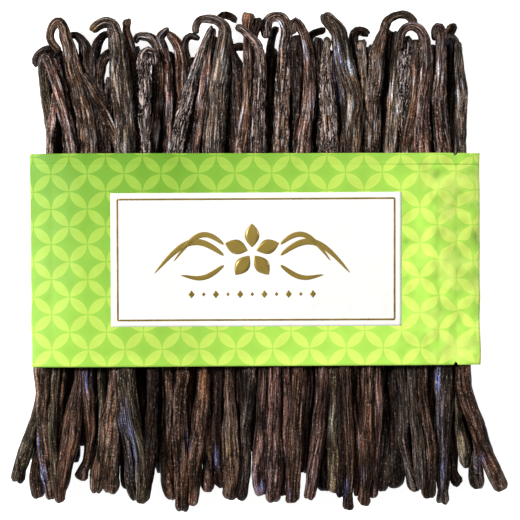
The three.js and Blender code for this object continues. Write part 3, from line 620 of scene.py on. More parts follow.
# distance along a line of points
def runLength(line):
    return np.concatenate([[0], np.cumsum(np.linalg.norm(np.diff(line[:, :2], axis=0), axis=1))])


heightGrid = {
    "step": 0.5,
    "half": 95.0,
    # above the first height the heap is pressed together, to no more than both added up
    "looseTo": 6.0,
    "pressedInto": 5.5,
    "bearing": 0.55,  # share of a pod's width that bears
    "slope": 0.1,
    "firmness": 6.0,  # spread of the easing along a pod, in steps
    "crownShare": 1.12,  # how high ridges and lumps stand, as a share of the half thickness
}
gridSize = int(2 * heightGrid["half"] / heightGrid["step"]) + 1
heaped = np.zeros((gridSize, gridSize))  # height of the loose heap so far, in millimetres
crowns = np.zeros((gridSize, gridSize))  # and of the pressed one


# height after pressing: the part above the loose height nears its limit as 1 - e^-x
def pressed(z):
    loose, limit = heightGrid["looseTo"], heightGrid["pressedInto"]
    above = np.maximum(z - loose, 0)
    return np.minimum(z, loose) + limit * (1 - np.exp(-above / limit))


# the nearest cell of the grid: (millimetres + half the grid) / step, rounded
def cellOf(x, y):
    return tuple(np.clip(np.rint((at + heightGrid["half"]) / heightGrid["step"]).astype(int),
                         0, gridSize - 1) for at in (x, y))


# lets a pod down onto the heap: at each place along it the axis needs the highest of
# heap + the half thickness of its rounded underside. Only the middle of a pod bears, as
# its soft flanks give way to its neighbours. The pod bridges hollows, because it falls no
# faster along its length than its slope, and the result is eased
def layDown(line, width, thickness):
    s = runLength(line)
    even = np.arange(0, s[-1], 0.5)
    x, y, wide, tall = (np.interp(even, s, v) for v in (line[:, 0], line[:, 1], width, thickness))
    half, tall = (wide / 2)[:, None], (tall / 2)[:, None]
    dx, dy = np.gradient(x), np.gradient(y)
    norm = np.hypot(dx, dy)
    share = np.linspace(-heightGrid["bearing"], heightGrid["bearing"], 7)[None, :]
    cells = cellOf(x[:, None] + (dy / norm)[:, None] * half * share,
                   y[:, None] - (dx / norm)[:, None] * half * share)
    rounded = tall * np.sqrt(1 - share ** 2)
    need = (heaped[cells] + rounded).max(axis=1)
    apart = np.abs(even[:, None] - even[None, :])
    z = (need[None, :] - heightGrid["slope"] * apart).max(axis=1)
    z = smooth(z, heightGrid["firmness"])
    np.maximum.at(heaped, cells, z[:, None] + rounded)
    z = pressed(z)
    np.maximum.at(crowns, cells, z[:, None] + heightGrid["crownShare"] * rounded)
    return np.interp(s, even, z)


# how deep the skin lies at each point, and the folds, ridges and grooves that make it up:
# folds run where a noisy sine crosses zero, ridges are long ring noise, and grooves and
# pits run where ring noise does
def skinRelief(noise, around, folds, ridges, creases, upward, eased):
    phase = 2 * np.pi * (folds / 2 * around + 0.8 * noise(16, 4))
    coarse = np.sin(phase) + 0.8 * creases * noise(6, folds)
    fold = np.clip(1 - np.abs(coarse) / 0.5, 0, 1) ** 1.2 * (0.6 + 0.6 * noise(11, 3))
    ridge = noise(9, ridges) + (0.15 + 0.35 * upward) * noise(4, ridges + 5)
    groove = np.exp(-(noise(10, ridges - 2) / 0.2) ** 2)
    shrivel = noise(2.2, max(4, folds - 1))
    pits = np.clip(1 - np.abs(shrivel) / 0.4, 0, 1) * np.clip(creases - 0.75, 0, None) * 1.8
    depth = (podKinds["foldDepth"] * (fold + pits) + podKinds["grooveDepth"] * groove
             - podKinds["ridgeDepth"] * ridge)
    return depth * (0.4 + 0.6 * creases) * eased - 0.06, fold + pits, ridge, groove


# skin tone at each point and its gloss: lower tone to upper tone, with painted shade in the folds,
# grooves and between the ridges, a painted highlight along their crests, and the painted places
def skinTone(noise, rng, skinNames, points, folded, ridge, groove, creases, upward, flank):
    upper, lower = (np.array(podKinds["skins"][name]) for name in skinNames[:2])
    below, above = podKinds["lightness"]
    share = upward[..., None]
    tone = np.array(below) * lower * (1 - share) + np.array(above) * upper * share
    shrivelled = part(creases, 0.7, 0.4) * upward
    base, more, most = podKinds["foldShade"]
    # painted shade in the folds and pits
    sunk = (base + more * upward + most * shrivelled) * np.clip(folded, 0, 1) ** 0.8
    # painted light and shade: the ridges lighter, the skin between them darker
    light = np.clip(1.1 + (0.95 + 0.4 * shrivelled) * ridge, 0.15, 1.9 + 0.4 * upward)
    tone = tone * ((1 - sunk) * (1 - podKinds["grooveShade"] * groove) * light)[..., None]
    # painted highlight: the crests greyer and paler
    crestHighlight = np.clip(ridge - 0.15, 0, 0.7) * np.clip(0.3 + 1.8 * noise(4, 7), 0, 1.2)
    crestHighlight = (crestHighlight * (0.25 + 0.75 * upward))[..., None]
    pale = tone.mean(axis=2, keepdims=True) * np.array(podKinds["crestHighlightTint"])
    pale = pale * podKinds["crestHighlightLightness"]
    tone = tone * (1 - crestHighlight) + pale * crestHighlight
    base, more = podKinds["unevenTone"]
    tone = tone * (1 + (base + more * share) * noise(24, 3)[..., None])
    tone = tone * rng.uniform(*podKinds["podTones"])
    # painted shade on the flanks, where the pods touch
    base, more = podKinds["flankShade"]
    tone = tone * (1 - (base + more * upward) * flank)[..., None]
    # painted highlights, painted cool reflections and warm tints, laid on the ridges at the places
    # above
    for tint, x, y, wide, tall, strength in podKinds["highlightAndTintPlaces"]:
        near = ((points[..., 0] - x) / wide) ** 2 + ((points[..., 1] - y) / tall) ** 2
        tinted = strength * np.exp(-near) * np.clip(0.4 + 1.7 * ridge - 0.8 * groove, 0, 1)
        tinted = tinted[..., None]
        tone = tone * (1 - tinted) + np.array(podKinds["highlightAndSkinTints"][tint]) * tinted
    gloss = np.clip(0.25 + (creases - 0.7) / 0.8, 0, 1) * (0.1 + 0.9 * upward)
    return np.concatenate([tone, gloss[..., None] + np.zeros(tone.shape[:2] + (1,))], -1)


# rings of points round a pod's line. Each ring is a flattened circle, pushed in by the
# folds and grooves of the skin and out by its ridges and lumps
def podSurface(row, rng, sides, spacing, fuller):
    skinNames, creased, upper, _ = row
    flatLine = podLine(row, fuller)
    s = runLength(flatLine)
    length = s[-1]
    fromEnd = np.minimum(s, length - s)
    uneven = podKinds["widthNoise"] * lineNoise(s / 7, rng) * part(fromEnd, 0, 8)
    width = flatLine[:, 2] * (1 + uneven)
    flat = podKinds["flatness"] * (0.94 + 0.12 * rng.random())
    atEnd = podKinds["endFlatness"]
    thickness = width * (atEnd + (flat - atEnd) * part(fromEnd, 0, 12))
    z = layDown(flatLine, width, thickness)

    # ring places: closer where the pod shows, wider apart under the sachet
    y = flatLine[:, 1]
    top, bottom = podKinds["sachetEdges"]
    margin = podKinds["hiddenMargin"]
    hidden = (y < top - margin) & (y > bottom + margin)
    density = np.where(hidden, podKinds["hiddenDensity"], 1.0) / spacing
    total = np.concatenate([[0], np.cumsum(np.diff(s) * (density[1:] + density[:-1]) / 2)])
    rings = np.interp(np.linspace(0, total[-1], int(total[-1])), total, s)
    atRings = lambda values: np.interp(rings, s, values)
    centre = np.stack([atRings(flatLine[:, 0]), atRings(flatLine[:, 1]), atRings(z)], -1)
    tangent = np.gradient(centre, rings, axis=0)
    tangent /= np.linalg.norm(tangent, axis=1, keepdims=True)
    across = np.stack([tangent[:, 1], -tangent[:, 0], np.zeros(len(rings))], -1)
    across /= np.linalg.norm(across, axis=1, keepdims=True)
    up = np.cross(across, tangent)

    # the lower part is never as shrivelled as the upper may be
    upward = part(rings / length, 0.3, 0.3)[:, None]
    creases = min(creased, 0.85) * (1 - upward) + creased * upward
    # points round the pod lie closer on its upper half; the seam is underneath
    share = np.arange(sides) / sides
    around = (share + closer(share))[None, :] + np.zeros((len(rings), 1))
    along = rings[:, None] + np.zeros((1, sides))
    noise = lambda size, cells: ringNoise(around, along / size, cells, rng)
    slow, quick = podKinds["wander"]
    wander = (slow * noise(16, 3) + quick * noise(4, 6)) * (0.2 + 0.8 * upward)
    twist = podKinds["twist"]
    skinAround = around + wander + rng.uniform(-twist, twist) * along / length
    skinNoise = lambda size, cells: ringNoise(skinAround, along / size, cells, rng)
    girth = 2.7 * upper[1][2]  # the way round a flattened pod is about 2.7 widths
    folds = max(3, round(girth / podKinds["foldSpacing"]))
    ridges = max(8, round(girth / podKinds["ridgeSpacing"]))
    fromEnd = np.minimum(along, length - along)
    eased = np.clip(fromEnd / 2.5, 0.35, 1)
    depth, folded, ridge, groove = skinRelief(skinNoise, skinAround, folds, ridges, creases, upward,
                                              eased)
    shown = atRings(np.clip(np.maximum(y - top, bottom - y) / 5 + 1.2, 0.1, 1))[:, None]
    depth = depth * shown
    long, middling, short, atEnds = podKinds["lumps"]
    lumps = long * noise(17, 2) + middling * noise(5, 4)
    lumps = (lumps + short * noise(2.1, 5)) * (0.6 + 0.4 * upward)
    lumps = (lumps + atEnds * noise(3, 3) * (1 - part(fromEnd, 0, 2))) * shown
    halfWidth, halfThick = atRings(width)[:, None] / 2, atRings(thickness)[:, None] / 2
    angle = 2 * np.pi * around - np.pi / 2
    roll = (podKinds["roll"] * lineNoise(rings / 30, rng))[:, None]
    # the rims of both ends are rounded off
    rim = part(np.minimum(rings, length - rings)[:, None], 0, 0.65 * halfWidth)
    radius = 1.03 + lumps - np.clip(depth / halfWidth, -0.25, 0.45)
    radius = radius * np.sqrt(1 - 0.5 * (1 - rim) ** 2)
    a, b = halfWidth * radius * np.cos(angle), halfThick * radius * np.sin(angle)
    a, b = a * np.cos(roll) - b * np.sin(roll), a * np.sin(roll) + b * np.cos(roll)
    points = centre[:, None, :] + across[:, None, :] * a[..., None] + up[:, None, :] * b[..., None]
    torn = podKinds["cutUnevenness"] * halfWidth * ringNoise(around, 0 * along, 5, rng)
    torn = torn * (1 - part(fromEnd, 0, 3))
    points += tangent[:, None, :] * torn[..., None]
    points[..., 2] = np.maximum(points[..., 2], 0.02)  # soft undersides flatten on the table

    # closed ends: the last ring again, smaller and further out; podPiece adds a middle point
    def cap(end, way):
        return [centre[end] + (points[end] - centre[end]) * inward + way * tangent[end] * out
                for inward, out in podKinds["capRings"][::way]]

    rounded = np.concatenate([cap(0, -1), points, cap(-1, 1)])
    runs = np.concatenate([[-0.6, -0.3], rings, [length + 0.3, length + 0.6]])

    flank = part(np.abs(np.cos(angle)), 0.74, 0.22) * (0.3 + 0.7 * shown)
    tone = skinTone(skinNoise, rng, skinNames, points, folded, ridge, groove, creases, upward,
                    flank)
    tone = np.concatenate([tone[:1], tone[:1], tone, tone[-1:], tone[-1:]])
    # the cut end of the stem
    cut, reach = podKinds["cutEnds"][skinNames[2] if len(skinNames) > 2 else "dark"]
    nearCut = part(runs, length - reach, reach)[:, None, None]
    tone = tone * (1 - 0.8 * nearCut) + np.array(cut + (0,)) * 0.8 * nearCut
    return {"rings": rounded, "poles": centre[[0, -1]], "runs": runs, "tone": tone,
            "poleTone": tone[[0, -1]].mean(axis=1), "girth": girth}


# how much further round than even spacing a point lies, in turns: a share of a sine
def closer(turns):
    return podKinds["closeness"] * np.sin(2 * np.pi * turns) / (2 * np.pi)


# several pods as one piece, with a UV map in millimetres of skin for the materials, each
# pod a noiseStep further along, and one of level strips, one for each pod
def podPiece(name, surfaces, firstNumber, material):
    points, quads, tris, tones = [], [], [], []
    uvs = {"podSkin": ([], []), "OFBake": ([], [])}  # of the quads and of the end triangles
    first = 0
    longest = max(s["runs"][-1] for s in surfaces) + 2
    for k, pod in enumerate(surfaces):
        rows, sides, _ = pod["rings"].shape
        j = np.arange(sides)
        nextJ = (j + 1) % sides
        pole, lastRow = first + rows * sides, first + (rows - 1) * sides
        quads.append(gridFaces(rows, sides, first, wrap=True))
        tris.append(np.stack([pole + 0 * j, first + j, first + nextJ], -1))
        tris.append(np.stack([pole + 1 + 0 * j, lastRow + nextJ, lastRow + j], -1))
        points += [pod["rings"].reshape(-1, 3), pod["poles"]]
        tones += [pod["tone"].reshape(-1, 4), pod["poleTone"]]
        # kind of face, place round the pod and place along it at each face's corners
        i, side = np.meshgrid(np.arange(rows - 1), j, indexing="ij")
        runs = pod["runs"]
        start, end = runs[0] + 0.0 * j, runs[-1] + 0.0 * j
        for kind, turns, run in (
            (0, (side, side, side + 1, side + 1), (runs[i], runs[i + 1], runs[i + 1], runs[i])),
            (1, (j + 0.5, j, j + 1), (start - 0.6, start, start)),
            (1, (j + 0.5, j + 1, j), (end + 0.6, end, end)),
        ):
            turns, run = np.stack(turns, -1).ravel() / sides, np.stack(run, -1).ravel()
            skin = [(turns + closer(turns)) * pod["girth"],
                    run + (firstNumber + k) * podSkin["noiseStep"]]
            strip = [(run + 1.5) / (longest + 1.5), (k + 0.03 + 0.94 * turns) / len(surfaces)]
            uvs["podSkin"][kind].append(np.stack(skin, -1))
            uvs["OFBake"][kind].append(np.stack(strip, -1))
        first += rows * sides + 2
    piece = makePiece(name, np.concatenate(points), np.concatenate(quads), np.concatenate(tris),
                      material)
    for key, (quadUv, triUv) in uvs.items():
        addUv(piece, key, np.concatenate(quadUv + triUv))
    addColours(piece, "podTone", np.concatenate(tones))  # the fourth value is the gloss
    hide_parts("pods")
    return piece


podSkin = {
    "noiseStep": 211,  # millimetres from one pod's skin to the next in the noise
    "roughness": ((0.24, 0.42), (0.18, 0.34)),  # of dull pods and of glossy ones
    "specular": 0.08,
    "coat": 0.04,
    "coatRoughness": 0.2,
    # how many to a millimetre, round the pod and along it
    "streaks": (2.0, 0.05),  # colour streaks
    "patches": (0.22, 0.09),  # warmer and cooler places
    "net": (1.3, 0.055),  # fine grooves
    "hairs": (2.3, 0.2),  # pale glints
    "specks": (2.4, 1.1),
    "spots": (3.6, 1.8),  # tiny dark and light spots all over
    "grain": (2.2, 1.1),
    "streakEdges": (0.38, 0.52, 0.64),  # noise values of dark, middle and pale
    "patchEdges": ((0.4, 0.5), (0.55, 0.72)),
    "netBreadth": 0.07,
    "netDepth": 0.0004,
    "grainDepth": 0.00032,
    # what the skin colour is multiplied by
    # the dark streaks are painted shade, the pale ones painted highlights
    "streakShadeAndHighlightTints": ((0.28, 0.19, 0.12), (1.24, 1.2, 1.12), (1.8, 2.7, 3.9)),
    "patchTints": ((0.88, 0.92, 0.94), (1.1, 1.0, 0.9)),
    "grooveShadeTint": (0.07, 0.05, 0.03),
    # dark spots, and pale spots that are painted glints
    "darkSpotAndGlintTints": ((0.15, 0.11, 0.08), (2.6, 2.5, 2.5)),
    "glint": (0.62, 0.52, 0.49),
}


# the pod skin: painted tone x streaks of painted shade and highlight, warmer and cooler in patches,
# painted shade along grooves, with spots and painted glints mixed in. Each mask is a noise ramped
# from 0 to 1 between two values
def makePodMaterial(spec):
    t = Tree("podSkin")
    place = t.node("ShaderNodeUVMap", uv_map="podSkin"), 0
    toned = t.node("ShaderNodeAttribute", attribute_name="podTone")
    tone, gloss = (toned, "Color"), (toned, "Alpha")

    def noise(kind, detail):
        spot = t.node("ShaderNodeMapping", {0: place, 3: spec[kind] + (1,)})
        return t.noise((spot, 0), 1.0, detail, 0.6)

    # a colour that goes over, where the noise runs from low to high, into itself tinted
    def tinted(base, value, low, high, tint, toLow=0, toHigh=1):
        return t.mix(t.ramp(value, low, high, toLow, toHigh), base, t.times(base, tint))

    streaks = noise("streaks", 4)
    dark, middle, pale = spec["streakShadeAndHighlightTints"]
    low, halfway, high = spec["streakEdges"]
    light = t.mix(t.ramp(streaks, low, halfway), dark, middle)
    light = t.mix(t.ramp(streaks, halfway, high), light, pale)
    # duller skin has fainter streaks
    light = t.mix(t.ramp(gloss, 0, 0.5, 0.42, 1), (1, 1, 1), light)
    base = t.times(tone, light)
    patches = noise("patches", 3)
    cool, warm = (t.times(base, tint) for tint in spec["patchTints"])
    coolEdge, warmEdge = spec["patchEdges"]
    base = t.mix(t.ramp(patches, *coolEdge), cool, base)
    base = t.mix(t.ramp(patches, *warmEdge), base, warm)
    # fine grooves where the noise crosses its middle value, with painted shade in them
    offMiddle = t.math("ABSOLUTE", t.math("SUBTRACT", noise("net", 2), 0.5))
    raised = t.ramp(offMiddle, 0.0, spec["netBreadth"])
    base = t.mix(raised, t.times(base, spec["grooveShadeTint"]), base)
    # pale glints: long hair lines and specks, most of them on glossy pods
    hairs = t.math("ADD", noise("hairs", 2), t.ramp(gloss, 0.4, 1, 0, 0.075))
    hairs = t.math("MULTIPLY", t.ramp(hairs, 0.6, 0.67), t.ramp(gloss, 0.1, 0.8, 0.1, 1))
    specks = t.math("ADD", noise("specks", 1), t.ramp(gloss, 0.6, 1, 0, 0.05))
    specks = t.math("MULTIPLY", t.ramp(specks, 0.61, 0.69), t.ramp(gloss, 0, 0.8, 0.5, 0.9))
    spots = noise("spots", 1)
    darkSpot, glintSpot = spec["darkSpotAndGlintTints"]
    base = tinted(base, spots, 0.3, 0.45, darkSpot, 0.7, 0)
    base = tinted(base, spots, 0.56, 0.68, glintSpot)
    glints = t.math("MULTIPLY", t.math("MAXIMUM", hairs, specks), raised)
    # fainter on the darkest skins, unless they are the glossiest
    brightness = t.node("ShaderNodeRGBToBW", {0: tone}), 0
    bright = t.ramp(brightness, 0.01, 0.05, 0.3, 1)
    glints = t.math("MULTIPLY", glints, t.math("MAXIMUM", bright, t.ramp(gloss, 0.8, 1)))
    base = t.mix(glints, base, spec["glint"])
    grain = noise("grain", 4)
    low, high = (t.ramp(gloss, 0, 1, *ends) for ends in zip(*spec["roughness"]))
    rough = t.ramp(grain, 0.3, 0.75, low, high)
    bump = None
    for height, depth in ((raised, "netDepth"), (grain, "grainDepth")):
        values = {"Height": height, "Strength": 1.0, "Distance": spec[depth]}
        bump = t.node("ShaderNodeBump", {**values, **({"Normal": bump} if bump else {})}), 0
    return t.finish({"Base Color": base, "Roughness": rough, "Normal": bump,
                     "Specular IOR Level": spec["specular"], "Coat Weight": spec["coat"],
                     "Coat Roughness": spec["coatRoughness"]})


rng = np.random.default_rng(podKinds["seed"])
podMaterial = makePodMaterial(podSkin)
# pods, sides of a ring, millimetres from ring to ring, how much fuller the bodies are and
# how many pieces
layers = {
    "bottomPods": (layBottomPods(bottomLayer), 24, 2.0, 0.0, 1),
    "middlePods": (middlePods, 48, 1.0, 0.15, 3),
    "frontPods": (frontPods, 72, 0.75, 0.11, 5),
}
number = 0
triangles = 0
for layerName, (rows, sides, spacing, fuller, pieces) in layers.items():
    surfaces = [podSurface(row, rng, sides, spacing, fuller) for row in rows]
    for k, own in enumerate(np.array_split(np.arange(len(rows)), pieces)):
        piece = podPiece(f"{layerName}{k + 1}", [surfaces[i] for i in own],
                         number + int(own[0]), podMaterial)
        triangles += sum(len(p.vertices) - 2 for p in piece.data.polygons)
    number += len(rows)
    print(layerName, len(rows), "pods, heap now", round(float(heaped.max()), 1), "mm high")
print("pods:", number, "with", triangles, "triangles")


sachet = {
    # corners seen from above
    "upperLeft": (-80.0, 36.8),
    "upperRight": (76.2, 37.1),
    "lowerRight": (76.5, -36.3),
    "lowerLeft": (-79.3, -37.2),
    "edgeThickness": 0.35,
    "pillow": 1.0,
    "pillowReach": 13,  # from the sealed band to the full height
    "sealedBand": 4.0,
    "restingEase": 15,  # how widely the film bridges the pods under it
    "clear": 0.6,
    "droop": 0.9,  # of the free ends
    "freeEnds": (70, 10),  # from the middle to where they start, and how long they are
    "sealLineY": 33.1,
    "sealLineDepth": 0.22,
    "notchX": 67.7,
    "notchWidth": 0.8,
    "notchDepth": 1.15,
    "step": 0.7,
    "waviness": 0.35,  # of the free ends, in and out
    # the crumpled end, to the right of the label
    "crumpleFrom": (46, 60),
    "crumple": ((8.0, 0.5), (4.2, 0.3), (2.2, 0.1)),  # size of a dent and its depth
    "crumpleLift": 0.3,
    "smoothPart": 0.22,  # share of the crumple left of the label
    "ridgeX": 61.9,
    "ridgeHeight": 0.3,
    "ridgeWander": 0.5,
    "ridgeHalf": 31,  # half its length
    "seed": 23,
    # printed pattern of overlapping circles
    "patternCell": (12.754, 12.156),
    "patternOrigin": (-72.29, 24.01),
    "patternTurn": -0.006,
    # painted shade and painted highlights of the crumpled end: x, y, half width, half height,
    # strength
    "crumpleShadeMarks": (
        (50.5, 6.4, 1.2, 0.9, -0.25), (51, -6.2, 1.1, 1, -0.25), (75.1, 8, 0.9, 2.6, -0.28),
        (62, 18.7, 0.6, 1, -0.2), (62, 2.4, 0.6, 1.2, -0.2), (62, -12.1, 0.5, 2.8, -0.22),
        (62.4, -17.3, 0.7, 1, -0.2), (62, -27, 0.6, 2.4, -0.2), (62.2, 30.2, 2.2, 1.1, -0.22),
        (68, 24.4, 2, 1.4, -0.2), (59, 21, 0.6, 5, -0.1), (66, -24, 0.7, 4, -0.12),
        (72.9, 14.4, 3, 2.6, 0.22), (73.4, -2.1, 2.6, 2.2, 0.22), (71, -15.6, 3, 2.5, 0.2),
        (52.7, 14.6, 1.6, 2, 0.1), (50.7, -0.7, 1.5, 1.8, 0.12), (66, -31, 4, 2, 0.08),
        (58, -9, 2, 5, 0.06),
    ),
    # soft patches of painted light and shade, mostly on the crumpled end
    "shadeMottle": ((6, 0.12), (2.8, 0.11)),  # size and strength of soft light and dark patches
}


# height of the lowest smooth sheet over the heap: the highest point within reach of each
# cell, eased by a bell curve in both directions
def heapEnvelope(reach):
    cells = int(reach / heightGrid["step"])
    sheet = crowns.copy()
    for axis in (0, 1):
        sheet = np.max([np.roll(sheet, k, axis) for k in range(-cells, cells + 1)], axis=0)
    for _ in range(2):
        sheet = np.apply_along_axis(smooth, 0, sheet, cells * 0.7).T
    return sheet


# smooth noise over the plane, from the same lattice noise, with dents of the given size
def planeNoise(x, y, size, seed):
    cells = int(260 / size)
    rng = np.random.default_rng(sachet["seed"] + seed)
    return ringNoise((x + 130) / (cells * size), (y + 130) / size, cells, rng)


# height of the film's underside and of its top at points seen from above: the heap's
# envelope, less the droop of the free ends, plus crumples; the pouch swells from the
# sealed band inwards as share x (2 - share)
def filmHeights(spec, x, y):
    where = (np.stack([x, y]) + heightGrid["half"]) / heightGrid["step"]
    i, j = np.floor(where).astype(int)
    a, b = where - np.floor(where)
    base = ((sheet[i, j] * (1 - a) + sheet[i + 1, j] * a) * (1 - b)
            + (sheet[i, j + 1] * (1 - a) + sheet[i + 1, j + 1] * a) * b) + spec["clear"]
    base = base - spec["droop"] * part(np.abs(x), *spec["freeEnds"]) ** 2
    start, full = spec["crumpleFrom"]
    share = part(x, start, full - start)
    share = share * share * (3 - 2 * share)
    rough = spec["smoothPart"] + (1 - spec["smoothPart"]) * share
    waves = sum(depth * planeNoise(x, y, size, k)
                for k, (size, depth) in enumerate(spec["crumple"])) * rough
    waves = waves + spec["crumpleLift"] * share
    fromRidge = np.abs(x + spec["ridgeWander"] * planeNoise(x, y, 6, 7) - spec["ridgeX"])
    ridge = spec["ridgeHeight"] * (0.5 + 0.5 * planeNoise(x, y, 5, 8))
    waves = waves - ridge * np.exp(-fromRidge / 0.7) * (np.abs(y) < spec["ridgeHalf"])
    band, reach = spec["sealedBand"], spec["pillowReach"]
    fromEnd = np.minimum(x - spec["upperLeft"][0], spec["upperRight"][0] - x)
    fromSide = np.minimum(spec["upperLeft"][1] - y, y - spec["lowerLeft"][1])
    fromEnd, fromSide = part(fromEnd, 2 * band, reach), part(fromSide, band, reach)
    swell = spec["pillow"] * (fromEnd * (2 - fromEnd)) * (fromSide * (2 - fromSide))
    sealLine = spec["sealLineDepth"] * (0.25 + 0.75 * share)
    sealLine = sealLine * np.exp(-((y - spec["sealLineY"]) / 0.3) ** 2)
    return base + waves, base + waves + spec["edgeThickness"] + swell - sealLine


# closed slabs as one piece, each from two grids of points, an upper and a lower one, with
# a rim between
def makeSlabs(name, pairs, material):
    points, quads, rims, first = [], [], [], 0
    for upper, lower in pairs:
        rows, columns, _ = upper.shape
        size = rows * columns
        index = np.arange(size).reshape(rows, columns) + first
        loop = [index[:, 0], index[-1, 1:], index[-2::-1, -1], index[0, -2:0:-1]]
        loop = np.concatenate(loop)
        nextLoop = np.roll(loop, -1)
        quads += [gridFaces(rows, columns, first),
                  gridFaces(rows, columns, first + size, flip=True),
                  np.stack([loop, loop + size, nextLoop + size, nextLoop], -1)]
        rims += [np.full(len(q), q is quads[-1]) for q in quads[-3:]]
        points += [upper.reshape(-1, 3), lower.reshape(-1, 3)]
        first += 2 * size
    return makePiece(name, np.concatenate(points), np.concatenate(quads), [], material,
                     np.concatenate(rims))


# the film as a sheet between its four corners, with a V notch in each long edge
def makeSachet(spec, material):
    upperLeft, upperRight, lowerRight, lowerLeft = (
        np.array(spec[key]) for key in ("upperLeft", "upperRight", "lowerRight", "lowerLeft"))
    width, tall = upperRight[0] - upperLeft[0], upperLeft[1] - lowerLeft[1]
    notchU, notchHalf = (spec["notchX"] - upperLeft[0]) / width, spec["notchWidth"] / width
    u = np.linspace(0, 1, int(width / spec["step"]) + 1)
    u = np.concatenate([u[np.abs(u - notchU) > 2 * notchHalf],
                        notchU + notchHalf * np.linspace(-1.2, 1.2, 13)])
    sealV = (spec["sealLineY"] - lowerLeft[1]) / tall
    v = np.linspace(0, 1, int(tall / spec["step"]) + 1)
    v = np.concatenate([v[np.abs(v - sealV) > 0.9 / tall],
                        sealV + np.linspace(-0.7, 0.7, 9) / tall])
    u, v = np.meshgrid(np.sort(u), np.sort(v), indexing="ij")
    notch = spec["notchDepth"] / tall * np.clip(1 - np.abs(u - notchU) / notchHalf, 0, 1)
    pinched = 0.5 + (v - 0.5) * (1 - 2 * notch * np.clip(np.abs(v - 0.5) * 12 - 5, 0, 1))
    low = lowerLeft + (lowerRight - lowerLeft) * u[..., None]
    high = upperLeft + (upperRight - upperLeft) * u[..., None]
    flat = low + (high - low) * pinched[..., None]
    x, y = flat[..., 0], flat[..., 1]
    bottom, top = filmHeights(spec, x, y)
    atEnds = np.clip(np.abs(u - 0.5) * 16 - 7, 0, 1)
    x = x + spec["waviness"] * planeNoise(x * 0, y, 9, 9) * atEnds
    sides = [np.stack([x, y, z], -1) for z in (top, bottom)]
    piece = makeSlabs("sachetFilm", [sides], material)
    # painted shade and highlights of the crumples, kept in the filmShade colour attribute
    share = part(x, spec["crumpleFrom"][0] - 8, 16)
    shade = 1 + (0.25 + 0.75 * share) * sum(strength * planeNoise(x, y, size, 20 + k)
                                            for k, (size, strength) in enumerate(spec["shadeMottle"]))
    for markX, markY, wide, high, strength in spec["crumpleShadeMarks"]:
        shade = shade + strength * np.exp(-((x - markX) / wide) ** 2 - ((y - markY) / high) ** 2)
    addColours(piece, "filmShade", np.repeat(np.concatenate([shade.ravel()] * 2), 4))
    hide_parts("sachet")
    return piece


filmPrint = {
    # linear colours at the upper left and at the lower right, the lower right ones lighter by
    # painted light
    "ground": ((0.162, 0.390, 0.029), (0.500, 0.890, 0.118)),
    "petal": ((0.280, 0.508, 0.054), (0.725, 0.985, 0.170)),
    # distances from the middle of a circle where each starts and is full, in cells
    "petalEdge": (0.496, 0.476),
    "rimEdge": (0.455, 0.435),
    "starEdge": (0.34, 0.05),
    # how much lighter by painted light: place from and to, share from and to
    "downward": (0.037, -0.037, 0, 0.66),
    "rightward": (-0.03, 0.07, 0, 0.75),
    "crumpled": (0.05, 0.066),
    "rimLight": 1.03,
    "starTint": (0.62, 0.82, 0.7),
    "starDepth": 0.2,
    "bending": 3.2,  # of the pattern at the crumpled end, in millimetres
    # strength and colour of the painted highlights on the crumples
    "patches": 0.6,
    "crumpleHighlight": (0.78, 1.0, 0.22),
    "sealLine": (0.13, 0.30, 0.03),
    "roughness": (0.46, 0.58),
    "specular": 0.25,
}


